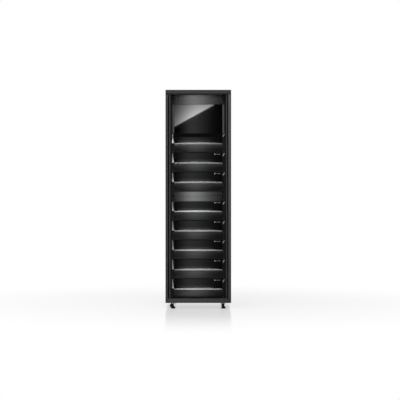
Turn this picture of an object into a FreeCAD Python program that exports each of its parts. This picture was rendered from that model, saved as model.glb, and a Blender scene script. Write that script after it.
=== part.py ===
import FreeCAD, Part

import math
import os
from types import SimpleNamespace

import Sketcher
from FreeCAD import Placement, Rotation, Vector

# A free-standing 19-inch cabinet of 42 rack units. It holds eight storage units of four rack
# units each, with bowed filler panels and one tall plain front plate between them.
# Millimetres. +Z is up, the front faces -Y, and the origin is on the floor, in the middle.

SIZES = {
    # 19-inch rack standard
    "rack_unit_height": 44.45,
    "rack_units": 42,
    "panel_width": 482.6,
    "bay_width": 450,
    "hole_spacing": 465.1,
    "rail_hole": 9.5,
    # cabinet
    "side_margin": 58.7,
    "cab_depth": 1100,
    "foot_height": 52,
    "base_height": 40,
    "top_height": 41.1,
    "door_zone": 30,
    "frame_wall": 2.5,
    "sill_depth": 130,
    "side_sill": 60,
    "top_bar": 44,
    "anchor_radius": 7,
    "anchor_inset": 150,
    "eyebolt_radius": 6.25,
    "bush_wall": 5,
    # corner posts
    "post_width": 44,
    "post_depth": 60,
    "post_face": 16,
    "post_lip": 7,
    "post_groove": 12,
    "groove_depth": 18,
    "strip_setback": 4,
    "post_wall": 2,
    # mounting rails and the angles that carry the units
    "rail_setback": 75,
    "rail_spacing": 750,
    "rail_sheet": 2,
    "rail_flange": 34,
    "rail_side": 50,
    "guide_sheet": 1.6,
    "guide_ledge": 20,
    "guide_web": 40,
    "guide_drop": 0.4,
    "guide_tab": 28,
    "guide_side_gap": 1,
    # cladding
    "skin": 1.5,
    "cladding_depth": 18,
    "cladding_gap": 0.5,
    "cover_seam": 3,
    "cover_rail_setback": 6,
    "cover_slot_width": 60,
    "cover_slot_height": 26,
    "cover_slot_drop": 80,
    "cover_slot_inset": 180,
    "roof_drop": 8,
    "cable_slot_width": 300,
    "cable_slot_depth": 80,
    "cable_slot_setback": 90,
    # fixed front panels
    "front_gap": 1.2,
    "front_width": 440,
    "front_sheet": 3,
    "front_stand": 18,
    "front_bow": 8,
    # storage units
    "unit_rack_units": 4,
    "unit_depth": 740,
    "unit_side_gap": 2,
    "unit_top_gap": 1.6,
    "unit_sheet": 1.5,
    "ear_sheet": 3,
    "seat_gap": 0.2,
    "rear_frame": 12,
    "lever_width": 17,
    "lever_root": 3,
    "lever_reach": 19,
    "lever_curve": 4,
    "lever_foot": 8,
    "latch_floor": 70,
    "latch_width": 5,
    "latch_reach": 8,
    "thumb_reach": 15,
    "thumb_height": 9,
    "thumb_rise": 18,
    "thumb_drop": 21,
    # drive carriers and the other modules of a unit
    "carrier_depth": 158,
    "carrier_gap": 0.6,
    "carrier_chamfer": 6,
    "midplane_sheet": 3,
    "fan_depth": 60,
    "fan_gap": 0.6,
    "power_width": 92,
    "power_depth": 300,
    "board_depth": 360,
    "board_sheet": 2,
    # clip-fitted bezel of a unit
    "bezel_sheet": 2.5,
    "bezel_stand": 16,
    "bezel_bow": 5,
    "bezel_seat_gap": 0.3,
    "bezel_floor": 5,
    "clip_reach": 12,
    "clip_height": 50,
    "clip_floor": 15,
    "crest_height": 79,
    "crest_stand": 37,
    "fascia_foot": 33,
    "fascia_bulge": 5,
    "fascia_bow": 12,
    # rear doors
    "door_gap": 2.5,
    "door_depth": 17.5,
    "door_edge_gap": 2,
    "door_end_gap": 4,
    "door_stile": 40,
    "door_slots": 30,
    "door_slot_height": 34,
    "door_slot_inset": 60,
    "hinge_edge": 6,
    "hinge_pin": 4,
    "hinge_plate": 3,
    "hinge_reach": 22,
    "hinge_depth": 20,
    "pin_clearance": 0.15,
    "handle_height": 1000,
    "handle_length": 130,
    "handle_width": 22,
    "handle_lift": 0.5,
    "spindle_radius": 6,
    # power strips
    "strip_width": 50,
    "strip_depth": 44,
    "strip_chamfer": 6,
    "strip_bottom": 300,
    "strip_height": 1400,
    # levelling feet and castors
    "foot_inset": 32,
    "foot_spacing": 460,
    "pad_radius": 21,
    "pad_height": 9,
    "neck_radius": 9,
    "neck_height": 24,
    "stem_radius": 6,
    "fit_clearance": 0.05,
    "stem_end": 4,
    "nut_radius": 11,
    "nut_height": 8,
    "castor_inset": 95,
    "castor_stem": 7,
    "castor_clearance": 0.3,
    "castor_trail": 13,
    "wheel_radius": 19,
    "wheel_width": 16,
    "wheel_lift": 3,
    "wheel_round": 4,
    "axle_radius": 4,
    "fork_sheet": 2.5,
    "fork_gap": 1.5,
    "fork_plate": 20,
}

doc = FreeCAD.newDocument("storage_array")
sheet = doc.addObject("Spreadsheet::Sheet", "Sizes")
for row, (alias, number) in enumerate(SIZES.items(), start=1):
    sheet.set(f"A{row}", alias)
    sheet.set(f"B{row}", str(number))
    sheet.setAlias(f"B{row}", alias)
doc.recompute()


class Dim:
    """A length held both as an expression on the sheet and as its present value."""

    def __init__(self, text, value):
        self.text = text
        self.value = value

    def join(self, sign, other, value):
        return Dim(f"({self.text} {sign} {other.text})", value)

    def __add__(self, other):
        other = dim(other)
        return self.join("+", other, self.value + other.value)

    def __sub__(self, other):
        other = dim(other)
        return self.join("-", other, self.value - other.value)

    def __mul__(self, other):
        other = dim(other)
        return self.join("*", other, self.value * other.value)

    def __truediv__(self, other):
        other = dim(other)
        return self.join("/", other, self.value / other.value)

    def __radd__(self, other):
        return dim(other) + self

    def __rsub__(self, other):
        return dim(other) - self

    def __rmul__(self, other):
        return dim(other) * self

    def __neg__(self):
        return dim(0) - self


def dim(size):
    return size if isinstance(size, Dim) else Dim(f"{size}", size)


def half_angle(chord, radius):
    """Degrees that half a chord spans on a circle."""
    ratio = chord / radius / 2
    return Dim(f"asin({ratio.text})", math.degrees(math.asin(ratio.value)))


def root(square):
    return Dim(f"sqrt({square.text})", math.sqrt(square.value))


def arc_radius(chord, rise):
    return chord * chord / (8 * rise) + rise / 2


s = SimpleNamespace(**{a: Dim(f"Sizes.{a}", float(sheet.get(a))) for a in SIZES})


def bind(item, name, size):
    item.setExpression(name, dim(size).text)


def new_body(label):
    body = doc.addObject("PartDesign::Body", label)
    body.Label = label
    return body


def new_sketch(body, role, along=0):
    """A sketch on one of the body's own planes, moved to a place on the axis across it."""
    sketch = body.newObject("Sketcher::SketchObject", "Outline")
    plane = next(f for f in body.Origin.OriginFeatures if f.Role == role)
    sketch.AttachmentSupport = [(plane, "")]
    sketch.MapMode = "FlatFace"
    bind(sketch, ".AttachmentOffset.Base.z", -dim(along) if role == "XZ_Plane" else along)
    return sketch


def tie_along(sketch, kind, item, point, size):
    """Fixes one point of the sketch at a length from the sketch's origin, across or up."""
    size = dim(size)
    rule = Sketcher.Constraint(kind, -1, 1, item, point, size.value)
    bind(sketch, f"Constraints[{sketch.addConstraint(rule)}]", size)


def tie(sketch, item, point, across, up):
    tie_along(sketch, "DistanceX", item, point, across)
    tie_along(sketch, "DistanceY", item, point, up)


def outline(sketch, corners, rises=None):
    """Closes the corners into an outline. rises gives, for the side that starts at a corner,
    how far its arc stands out to the left of the way round."""
    rises = rises or {}
    corners = [(dim(a), dim(b)) for a, b in corners]
    sides = []
    for k, (a, b) in enumerate(corners):
        c, d = corners[(k + 1) % len(corners)]
        start = Vector(a.value, b.value, 0)
        end = Vector(c.value, d.value, 0)
        if k not in rises:
            item = sketch.addGeometry(Part.LineSegment(start, end))
            sides.append((item, 1, 2))
            continue
        rise = dim(rises[k])
        way = end - start
        left = Vector(-way.y, way.x, 0).normalize()
        item = sketch.addGeometry(Part.Arc(start, (start + end) / 2 + left * rise.value, end))
        forward = (sketch.getPoint(item, 1) - start).Length < (sketch.getPoint(item, 2) - start).Length
        sides.append((item, 1, 2) if forward else (item, 2, 1))
        chord = root((c - a) * (c - a) + (d - b) * (d - b))
        shift = (rise / 2 - chord * chord / (8 * rise)) / chord
        if abs(way.x) > abs(way.y):
            tie_along(sketch, "DistanceY", item, 3, (b + d) / 2 + (c - a) * shift)
        else:
            tie_along(sketch, "DistanceX", item, 3, (a + c) / 2 - (d - b) * shift)
    for k, (item, _, last) in enumerate(sides):
        following, first, _ = sides[(k + 1) % len(sides)]
        sketch.addConstraint(Sketcher.Constraint("Coincident", item, last, following, first))
    for (item, first, _), (a, b) in zip(sides, corners):
        tie(sketch, item, first, a, b)


def circle(sketch, across, up, radius):
    across, up, radius = dim(across), dim(up), dim(radius)
    centre = Vector(across.value, up.value, 0)
    item = sketch.addGeometry(Part.Circle(centre, Vector(0, 0, 1), radius.value))
    rule = Sketcher.Constraint("Radius", item, radius.value)
    bind(sketch, f"Constraints[{sketch.addConstraint(rule)}]", radius)
    tie(sketch, item, 3, across, up)


def rectangle(sketch, x0, y0, x1, y1):
    outline(sketch, [(x0, y0), (x1, y0), (x1, y1), (x0, y1)])


def pad(body, sketch, length):
    """Fills the outline towards the positive axis across its plane."""
    feature = body.newObject("PartDesign::Pad", "Pad")
    feature.Profile = sketch
    feature.Reversed = sketch.AttachmentSupport[0][0].Role == "XZ_Plane"
    bind(feature, "Length", length)
    return feature


def pocket(body, sketch, length):
    """Cuts the outline away towards the positive axis across its plane."""
    feature = body.newObject("PartDesign::Pocket", "Pocket")
    feature.Profile = sketch
    feature.Reversed = sketch.AttachmentSupport[0][0].Role != "XZ_Plane"
    bind(feature, "Length", length)
    return feature


def revolve(body, sketch, axis="V_Axis", angle=360):
    feature = body.newObject("PartDesign::Revolution", "Revolution")
    feature.Profile = sketch
    feature.ReferenceAxis = (sketch, [axis])
    feature.Midplane = True
    bind(feature, "Angle", angle)
    return feature


def upright_row(body, feature, sketch, count, length):
    """Repeats a cut upwards in equal steps."""
    row = body.newObject("PartDesign::LinearPattern", "Row")
    row.Originals = [feature]
    row.Direction = (sketch, ["V_Axis"])
    bind(row, "Length", length)
    bind(row, "Occurrences", count)
    body.Tip = row


def prism(label, role, along, length, corners, rises=None):
    body = new_body(label)
    sketch = new_sketch(body, role, along)
    outline(sketch, corners, rises)
    pad(body, sketch, length)
    return body


def place(item, x=0, y=0, z=0, turn=0):
    item.Placement = Placement(Vector(), Rotation(Vector(0, 0, 1), turn))
    for axis, size in zip("xyz", (x, y, z)):
        bind(item, f"Placement.Base.{axis}", size)


def repeat(source, label, x=0, y=0, z=0, turn=0):
    link = doc.addObject("App::Link", label)
    link.LinkedObject = source
    link.Label = label
    place(link, x, y, z, turn)
    return link


def group(label, members):
    compound = doc.addObject("Part::Compound", label)
    compound.Label = label
    compound.Links = members
    return compound


nodes = []
SIDES = (("left", -1), ("right", 1))

half_width = s.panel_width / 2 + s.side_margin
front = -s.cab_depth / 2
back = s.cab_depth / 2
rear = back - s.door_zone
sill_top = s.foot_height + s.base_height
bay_height = s.rack_unit_height * s.rack_units
bay_top = sill_top + bay_height
cab_top = bay_top + s.top_height


def frame_member(label, x0, y0, x1, y1, bottom, height):
    """A pressed frame member, open below."""
    body = prism(label, "XY_Plane", bottom, height, [(x0, y0), (x1, y0), (x1, y1), (x0, y1)])
    inside = new_sketch(body, "XY_Plane", bottom)
    wall = s.frame_wall
    rectangle(inside, x0 + wall, y0 + wall, x1 - wall, y1 - wall)
    pocket(body, inside, height - wall)
    return body


def bush(body, x, y, radius, bottom, height, through=None):
    """A welded bush under the member's web, with its bore, cut through the web where asked."""
    ring = new_sketch(body, "XY_Plane", bottom)
    circle(ring, x, y, radius + s.bush_wall)
    circle(ring, x, y, radius)
    pad(body, ring, height - s.frame_wall)
    if through:
        hole = new_sketch(body, "XY_Plane", bottom)
        circle(hole, x, y, radius)
        pocket(body, hole, height)


def base_frame():
    members = []
    height = s.base_height
    for name, edge, inward in (("front", front, 1), ("rear", rear, -1)):
        other = edge + inward * s.sill_depth
        y0, y1 = (edge, other) if inward > 0 else (other, edge)
        sill = frame_member(f"{name}_sill", -half_width, y0, half_width, y1, s.foot_height, height)
        for _, side in SIDES:
            x = side * s.foot_spacing / 2
            foot_bore = s.stem_radius + s.fit_clearance
            bush(sill, x, edge + inward * s.foot_inset, foot_bore, s.foot_height, height)
            castor_bore = s.castor_stem + s.castor_clearance
            bush(sill, x, edge + inward * s.castor_inset, castor_bore, s.foot_height, height)
        members.append(sill)
    y0 = front + s.sill_depth
    y1 = rear - s.sill_depth
    for name, side in SIDES:
        outer = side * half_width
        inner = outer - side * s.side_sill
        x0, x1 = (outer, inner) if side < 0 else (inner, outer)
        sill = frame_member(f"{name}_sill", x0, y0, x1, y1, s.foot_height, height)
        middle = (x0 + x1) / 2
        for y in (y0 + s.anchor_inset, y1 - s.anchor_inset):
            bush(sill, middle, y, s.anchor_radius, s.foot_height, height, through=True)
        members.append(sill)
    nodes.append(group("base_frame", members))


def top_frame():
    members = []
    height = s.top_height
    for name, y0 in (("front", front), ("rear", rear - s.top_bar)):
        y1 = y0 + s.top_bar
        bar = frame_member(f"{name}_top_bar", -half_width, y0, half_width, y1, bay_top, height)
        for _, side in SIDES:
            x = side * (half_width - s.top_bar / 2)
            bush(bar, x, y0 + s.top_bar / 2, s.eyebolt_radius, bay_top, height, through=True)
        members.append(bar)
    for name, side in SIDES:
        outer = side * half_width
        inner = outer - side * s.top_bar
        x0, x1 = (outer, inner) if side < 0 else (inner, outer)
        y0, y1 = front + s.top_bar, rear - s.top_bar
        members.append(frame_member(f"{name}_top_bar", x0, y0, x1, y1, bay_top, height))
    nodes.append(group("top_frame", members))


def post_section(inset):
    """The folded post section, from its outer edge inwards and from its face backwards. The face
    falls away in a sloped lip to a deep groove, with a flat strip beyond it."""
    lip_end = s.post_face + s.post_lip
    groove_end = lip_end + s.post_groove
    return [
        (inset, inset),
        (s.post_face, inset),
        (lip_end - inset, s.strip_setback + inset),
        (lip_end - inset, s.groove_depth + inset),
        (groove_end + inset, s.groove_depth + inset),
        (groove_end + inset, s.strip_setback + inset),
        (s.post_width - inset, s.strip_setback + inset),
        (s.post_width - inset, s.post_depth - inset),
        (inset, s.post_depth - inset),
    ]


def posts():
    for end, edge, inward in (("front", front, 1), ("rear", rear, -1)):
        for name, side in SIDES:
            body = new_body(f"post_{end}_{name}")
            sketch = new_sketch(body, "XY_Plane", sill_top)
            for inset in (dim(0), s.post_wall):
                section = post_section(inset)
                outline(sketch, [(side * (half_width - u), edge + inward * v) for u, v in section])
            pad(body, sketch, bay_height)
            nodes.append(body)


rail_front = front + s.rail_setback
rail_rear = rail_front + s.rail_spacing


def rail(label, side, face, inward):
    """An angle rail with one square hole for each rack unit."""
    inner = s.bay_width / 2
    outer = inner + s.rail_flange
    web = outer - s.rail_sheet
    section = [(inner, 0), (outer, 0), (outer, s.rail_side), (web, s.rail_side)]
    section += [(web, s.rail_sheet), (inner, s.rail_sheet)]
    corners = [(side * u, face + inward * v) for u, v in section]
    body = prism(label, "XY_Plane", sill_top, bay_height, corners)
    near = face if inward > 0 else face - s.rail_sheet
    hole = new_sketch(body, "XZ_Plane", near)
    x = side * s.hole_spacing / 2
    z = sill_top + s.rack_unit_height / 2
    half = s.rail_hole / 2
    rectangle(hole, x - half, z - half, x + half, z + half)
    cut = pocket(body, hole, s.rail_sheet)
    upright_row(body, cut, hole, s.rack_units, s.rack_unit_height * (s.rack_units - 1))
    return body


def rails():
    for name, side in SIDES:
        nodes.append(rail(f"rail_front_{name}", side, rail_front, 1))
    nodes.append(group("rails_rear", [rail(f"rear_{n}", k, rail_rear, -1) for n, k in SIDES]))


def side_cover(label, side, z0, z1):
    """A hollow half-height side cover with two openings for its slide latches."""
    y0 = front + s.post_depth + s.cladding_gap
    y1 = rear - s.post_depth - s.cladding_gap
    wall = s.skin
    depth = s.cladding_depth
    x0 = -half_width if side < 0 else half_width - depth
    corners = [(y0, z0), (y1, z0), (y1, z1), (y0, z1)]
    cover = prism(label, "YZ_Plane", x0, depth, corners)
    hollow = new_sketch(cover, "YZ_Plane", x0 + wall if side < 0 else x0)
    rectangle(hollow, y0 + wall, z0 + wall, y1 - wall, z1 - wall)
    pocket(cover, hollow, depth - wall)

    slots = new_sketch(cover, "YZ_Plane", x0 if side < 0 else x0 + depth - wall)
    low = z1 - s.cover_slot_drop - s.cover_slot_height
    for y in (y0 + s.cover_slot_inset, y1 - s.cover_slot_inset - s.cover_slot_width):
        rectangle(slots, y, low, y + s.cover_slot_width, low + s.cover_slot_height)
    pocket(cover, slots, wall)
    return cover


def cover_rail(name, side, z0, z1):
    """The strip between the posts that carries the upper cover, set back behind the seam."""
    inner = half_width - s.cladding_depth
    outer = half_width - s.cover_rail_setback
    y0, y1 = front + s.post_depth, rear - s.post_depth
    corners = [(side * inner, z0), (side * outer, z0), (side * outer, z1), (side * inner, z1)]
    return prism(f"cover_rail_{name}", "XZ_Plane", y0, y1 - y0, corners)


def cladding():
    z0, z1 = sill_top, bay_top - s.cladding_gap
    seam_low = (z0 + z1 - s.cover_seam) / 2
    seam_high = seam_low + s.cover_seam
    for name, side in SIDES:
        lower = side_cover(f"lower_cover_{name}", side, z0, seam_low)
        upper = side_cover(f"upper_cover_{name}", side, seam_high, z1)
        pieces = [lower, cover_rail(name, side, seam_low, seam_high), upper]
        nodes.append(group(f"side_panel_{name}", pieces))

    x1 = half_width - s.top_bar
    y0, y1 = front + s.top_bar, rear - s.top_bar
    roof_bottom = cab_top - s.roof_drop - s.skin
    roof = new_body("roof_panel")
    sheet_outline = new_sketch(roof, "XY_Plane", roof_bottom)
    rectangle(sheet_outline, -x1, y0, x1, y1)
    slot_rear = y1 - s.cable_slot_setback
    half = s.cable_slot_width / 2
    rectangle(sheet_outline, -half, slot_rear - s.cable_slot_depth, half, slot_rear)
    pad(roof, sheet_outline, s.skin)
    nodes.append(roof)

    x1 = half_width - s.side_sill
    y0, y1 = front + s.sill_depth, rear - s.sill_depth
    corners = [(-x1, y0), (x1, y0), (x1, y1), (-x1, y1)]
    nodes.append(prism("floor_panel", "XY_Plane", s.foot_height, s.skin, corners))


def bowed_panel(label, bottom, units):
    """A fixed front panel with flat ears on the rails and a bowed, hollow middle."""
    ear = s.panel_width / 2
    edge = s.front_width / 2
    wall = s.front_sheet
    face = rail_front - s.front_stand
    half = [
        (ear, rail_front),
        (ear, rail_front - wall),
        (edge, rail_front - wall),
        (edge, face),
    ]
    inside = [(edge - wall, face + wall), (edge - wall, rail_front)]
    mirrored = [(-u, v) for u, v in reversed(half)]
    corners = half + mirrored + [(-u, v) for u, v in reversed(inside)] + inside
    rises = {3: s.front_bow, 9: -s.front_bow}
    height = s.rack_unit_height * units - s.front_gap
    return prism(label, "XY_Plane", bottom + s.front_gap / 2, height, corners, rises)


def unit_floor(below):
    """Height of the rack position that has this many rack units below it."""
    return sill_top + s.rack_unit_height * below


UNIT_FLOORS = [30, 26, 22, 16, 12, 8, 4, 0]


def front_panels():
    nodes.append(bowed_panel("filler_panel_2u", unit_floor(40), 2))
    nodes.append(bowed_panel("front_plate", unit_floor(34), 6))
    fillers = [bowed_panel(f"filler_1u_{k}", unit_floor(k), 1) for k in (20, 21)]
    z0 = unit_floor(20) + s.front_gap / 2
    z1 = unit_floor(22) + tray_floor / 2
    corners = [(-tray_half, z0), (tray_half, z0), (tray_half, z1), (-tray_half, z1)]
    fillers.append(prism("filler_backing", "XZ_Plane", rail_front, s.skin, corners))
    nodes.append(group("filler_panels_1u", fillers))


def guides():
    """One angle on each side under each unit, hung between the front and rear rails."""
    y0 = rail_front + s.rail_sheet
    length = s.rail_spacing - 2 * s.rail_sheet
    members = []
    inner = s.bay_width / 2 - s.unit_side_gap + s.guide_side_gap
    for name, side in SIDES:
        outer = inner + s.guide_sheet
        bottom = s.guide_drop
        floor = bottom + s.guide_sheet
        section = [(inner - s.guide_ledge, bottom), (outer, bottom), (outer, bottom + s.guide_web)]
        section += [(inner, bottom + s.guide_web), (inner, floor), (inner - s.guide_ledge, floor)]
        corners = [(side * u, v) for u, v in section]
        guide = prism(f"guide_{name}", "XZ_Plane", y0, length, corners)
        for y in (y0, y0 + length - s.guide_sheet):
            tab = new_sketch(guide, "XZ_Plane", y)
            rectangle(tab, side * outer, bottom, side * (outer + s.guide_tab), bottom + s.guide_web)
            pad(guide, tab, s.guide_sheet)
        for below in UNIT_FLOORS:
            members.append(repeat(guide, f"guide_{name}_{below}", z=unit_floor(below)))
    nodes.append(group("guide_rails", members))


tray_half = s.bay_width / 2 - s.unit_side_gap
tray_floor = s.guide_drop + s.guide_sheet + s.seat_gap
tray_top = s.rack_unit_height * s.unit_rack_units - s.unit_top_gap
ear_back = rail_front - s.seat_gap
ear_front = ear_back - s.ear_sheet
unit_rear = ear_back + s.unit_depth
unit_low = s.front_gap / 2
unit_high = s.rack_unit_height * s.unit_rack_units - s.front_gap / 2


def unit_tray():
    """Sheet tray, open on top and in front, with a window for the modules behind."""
    wall = s.unit_sheet
    lid = tray_top - wall
    section = [(-tray_half, tray_floor), (tray_half, tray_floor), (tray_half, lid), (tray_half - wall, lid)]
    section += [(tray_half - wall, tray_floor + wall), (wall - tray_half, tray_floor + wall)]
    section += [(wall - tray_half, lid), (-tray_half, lid)]
    tray = prism("unit_tray", "XZ_Plane", ear_back, s.unit_depth, section)

    back_wall = new_sketch(tray, "XZ_Plane", unit_rear - wall)
    rectangle(back_wall, wall - tray_half, tray_floor + wall, tray_half - wall, lid)
    rim = s.rear_frame
    rectangle(back_wall, rim - tray_half, tray_floor + rim, tray_half - rim, lid - rim)
    pad(tray, back_wall, wall)

    return tray


def unit_ear(name, side):
    """The flange that meets the rail, welded to the front edge of the tray's side."""
    inner = side * (tray_half - s.unit_sheet)
    outer = side * s.panel_width / 2
    corners = [(inner, unit_low), (outer, unit_low), (outer, unit_high), (inner, unit_high)]
    return prism(f"unit_ear_{name}", "XZ_Plane", ear_front, s.ear_sheet, corners)


def unit_lip():
    """The strip below the carriers that joins the two ears along the front of the tray."""
    inner = tray_half - s.unit_sheet
    top = tray_floor + s.unit_sheet
    corners = [(-inner, unit_low), (inner, unit_low), (inner, top), (-inner, top)]
    return prism("unit_lip", "XZ_Plane", ear_front, s.ear_sheet, corners)


def unit_cover():
    corners = [(-tray_half, ear_back), (tray_half, ear_back), (tray_half, unit_rear), (-tray_half, unit_rear)]
    return prism("unit_cover", "XY_Plane", tray_top - s.unit_sheet, s.unit_sheet, corners)


def unit_lever():
    """The bright lever on the left ear: it leaves the ear at its top and sweeps out to its foot."""
    low = s.crest_height + s.lever_root
    high = unit_high - s.lever_root
    near = ear_front - s.lever_root
    tip = ear_front - s.lever_reach
    corners = [(ear_front, high), (ear_front, low), (near - s.lever_foot, low), (tip, low + s.lever_foot)]
    corners.append((near, high))
    start = -s.panel_width / 2 + s.seat_gap
    return prism("unit_lever", "YZ_Plane", start, s.lever_width, corners, {3: -s.lever_curve})


def unit_latch():
    """The slim latch on the right ear, with a slanted thumb piece at its top."""
    inner = tray_half
    outer = s.panel_width / 2 - s.seat_gap
    turn = unit_high - s.thumb_drop
    face = ear_front - s.latch_reach
    edge = inner + s.latch_width
    corners = [(inner, s.latch_floor), (edge, s.latch_floor), (edge, turn), (inner, turn)]
    latch = prism("unit_latch", "XZ_Plane", face, s.latch_reach, corners)

    thumb = new_sketch(latch, "XZ_Plane", ear_front - s.thumb_reach)
    top = turn + s.thumb_rise
    corners = [(inner, turn - s.thumb_height), (edge, turn - s.thumb_height), (outer, top - s.thumb_height)]
    outline(thumb, corners + [(outer, top), (outer - s.latch_width, top), (inner, turn)])
    pad(latch, thumb, s.thumb_reach)
    return latch


CARRIER_COLUMNS = 4
CARRIER_ROWS = 6
FAN_COUNT = 4


def unit_modules():
    """Everything that plugs into the tray: drive carriers, midplane, fans, board and power."""
    wall = s.unit_sheet
    floor = tray_floor + wall
    ceiling = tray_top - wall
    inner = tray_half - wall
    gap = s.carrier_gap
    wide = 2 * inner / CARRIER_COLUMNS
    tall = (ceiling - floor) / CARRIER_ROWS
    chamfer = s.carrier_chamfer
    profile = [(0, gap / 2), (s.carrier_depth, gap / 2), (s.carrier_depth, tall - gap / 2)]
    profile += [(chamfer, tall - gap / 2), (0, tall - gap / 2 - chamfer)]
    carrier = prism("drive_carrier", "YZ_Plane", gap / 2, wide - gap, profile)
    modules = []
    for column in range(CARRIER_COLUMNS):
        for level in range(CARRIER_ROWS):
            x = -inner + wide * column
            z = floor + tall * level
            modules.append(repeat(carrier, f"carrier_{column}_{level}", x, ear_back, z))

    y = ear_back + s.carrier_depth + gap
    corners = [(-inner, floor), (inner, floor), (inner, ceiling - gap), (-inner, ceiling - gap)]
    modules.append(prism("midplane", "XZ_Plane", y, s.midplane_sheet, corners))

    y = y + s.midplane_sheet + gap
    fan_wide = 2 * inner / FAN_COUNT
    corners = [(0, 0), (fan_wide - s.fan_gap, 0), (fan_wide - s.fan_gap, ceiling - floor - s.fan_gap)]
    corners.append((0, ceiling - floor - s.fan_gap))
    fan = prism("fan_module", "XZ_Plane", 0, s.fan_depth, corners)
    for k in range(FAN_COUNT):
        x = -inner + fan_wide * k + s.fan_gap / 2
        modules.append(repeat(fan, f"fan_module_{k}", x, y, floor))

    inset = s.rear_frame - wall
    low, high = floor + inset, ceiling - inset
    for name, side in SIDES:
        outer = side * (tray_half - s.rear_frame)
        near = outer - side * s.power_width
        corners = [(near, floor), (outer, floor), (outer, high), (near, high)]
        start = unit_rear - wall - s.power_depth
        modules.append(prism(f"power_module_{name}", "XZ_Plane", start, s.power_depth, corners))
    half = tray_half - s.rear_frame - s.power_width - gap
    start = unit_rear - wall - s.board_depth
    tray = [(-half, floor), (half, floor), (half, high), (half - s.board_sheet, high)]
    tray += [(half - s.board_sheet, floor + s.board_sheet), (s.board_sheet - half, floor + s.board_sheet)]
    tray += [(s.board_sheet - half, high), (-half, high)]
    modules.append(prism("controller_tray", "XZ_Plane", start, s.board_depth, tray))
    edge = half - s.board_sheet
    base = floor + s.board_sheet
    board = [(-edge, base), (edge, base), (edge, base + s.board_sheet), (-edge, base + s.board_sheet)]
    modules.append(prism("controller_board", "XZ_Plane", start, s.board_depth, board))
    return modules


bezel_back = ear_front - s.bezel_seat_gap
bezel_half = s.front_width / 2
bow_radius = arc_radius(s.front_width, s.fascia_bow)
bow_axis = bezel_back - s.crest_stand + bow_radius


def bezel_shell():
    """The dark moulded shell: bowed in plan, returned at both ends to clip tabs on the ears."""
    wall = s.bezel_sheet
    face = bezel_back - s.bezel_stand
    half = [(bezel_half, bezel_back), (bezel_half, face)]
    inside = [(bezel_half - wall, face + wall), (bezel_half - wall, bezel_back)]
    corners = half + [(-u, v) for u, v in reversed(half)]
    corners += [(-u, v) for u, v in reversed(inside)] + inside
    rises = {1: s.bezel_bow, 5: -s.bezel_bow}
    shell = prism("bezel_shell", "XY_Plane", s.bezel_floor, unit_high - s.bezel_floor, corners, rises)
    for _, side in SIDES:
        tab = new_sketch(shell, "XZ_Plane", bezel_back - wall)
        inner, outer = side * (bezel_half - wall), side * (bezel_half + s.clip_reach)
        rectangle(tab, inner, s.clip_floor, outer, s.clip_floor + s.clip_height)
        pad(shell, tab, wall)
    return shell


def bowed(label, profile, rises=None):
    """Sweeps a profile, given as (stand out from the ears, height), along the bow of the front."""
    body = new_body(label)
    sketch = new_sketch(body, "YZ_Plane")
    bind(sketch, ".AttachmentOffset.Base.x", bow_axis)
    outline(sketch, [(s.crest_stand - bow_radius - f, z) for f, z in profile], rises)
    revolve(body, sketch, angle=2 * half_angle(s.front_width, bow_radius))

    behind = new_sketch(body, "XY_Plane")
    face = bezel_back - s.bezel_stand
    past = s.panel_width / 2
    corners = [(past, face), (bezel_half, face), (-bezel_half, face), (-past, face)]
    corners += [(-past, bow_axis), (past, bow_axis)]
    outline(behind, corners, {1: s.bezel_bow})
    pocket(body, behind, unit_high)
    return body


def bezel_fascia():
    """The bulged lower half of the bezel, seated on the face of the shell."""
    wall, low = s.bezel_sheet, s.bezel_floor
    foot, crest = s.fascia_foot, s.crest_stand
    profile = [(0, low), (foot, low), (crest, s.crest_height), (crest - wall, s.crest_height)]
    profile += [(foot - wall, low + wall), (0, low + wall)]
    return bowed("bezel_fascia", profile, {1: -s.fascia_bulge, 3: s.fascia_bulge})


def bezel_trim():
    """The bright ledge that falls forwards from the shell to the crest of the fascia."""
    wall = s.bezel_sheet
    crest, low = s.crest_stand, s.crest_height
    profile = [(crest, low), (0, low + crest), (0, low + crest - wall), (crest - wall, low)]
    return bowed("bezel_trim", profile)


def storage_units():
    chassis = [unit_tray(), unit_lip(), unit_cover(), unit_lever(), unit_latch()]
    for name, side in SIDES:
        chassis.append(unit_ear(name, side))
    sources = {
        "chassis": group("chassis_pieces", chassis),
        "modules": group("module_pieces", unit_modules()),
        "bezel": group("bezel_pieces", [bezel_shell(), bezel_fascia(), bezel_trim()]),
    }
    for number, below in enumerate(UNIT_FLOORS, start=1):
        for kind, source in sources.items():
            nodes.append(repeat(source, f"unit_{number}_{kind}", z=unit_floor(below)))


door_front = rear + s.door_gap
door_back = door_front + s.door_depth
door_low = s.foot_height + s.door_end_gap
door_high = cab_top - s.door_end_gap
hinge_x = half_width - s.door_edge_gap - s.hinge_edge
hinge_y = (door_front + door_back) / 2
handle_x = s.door_edge_gap / 2 + s.door_stile / 2


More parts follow.
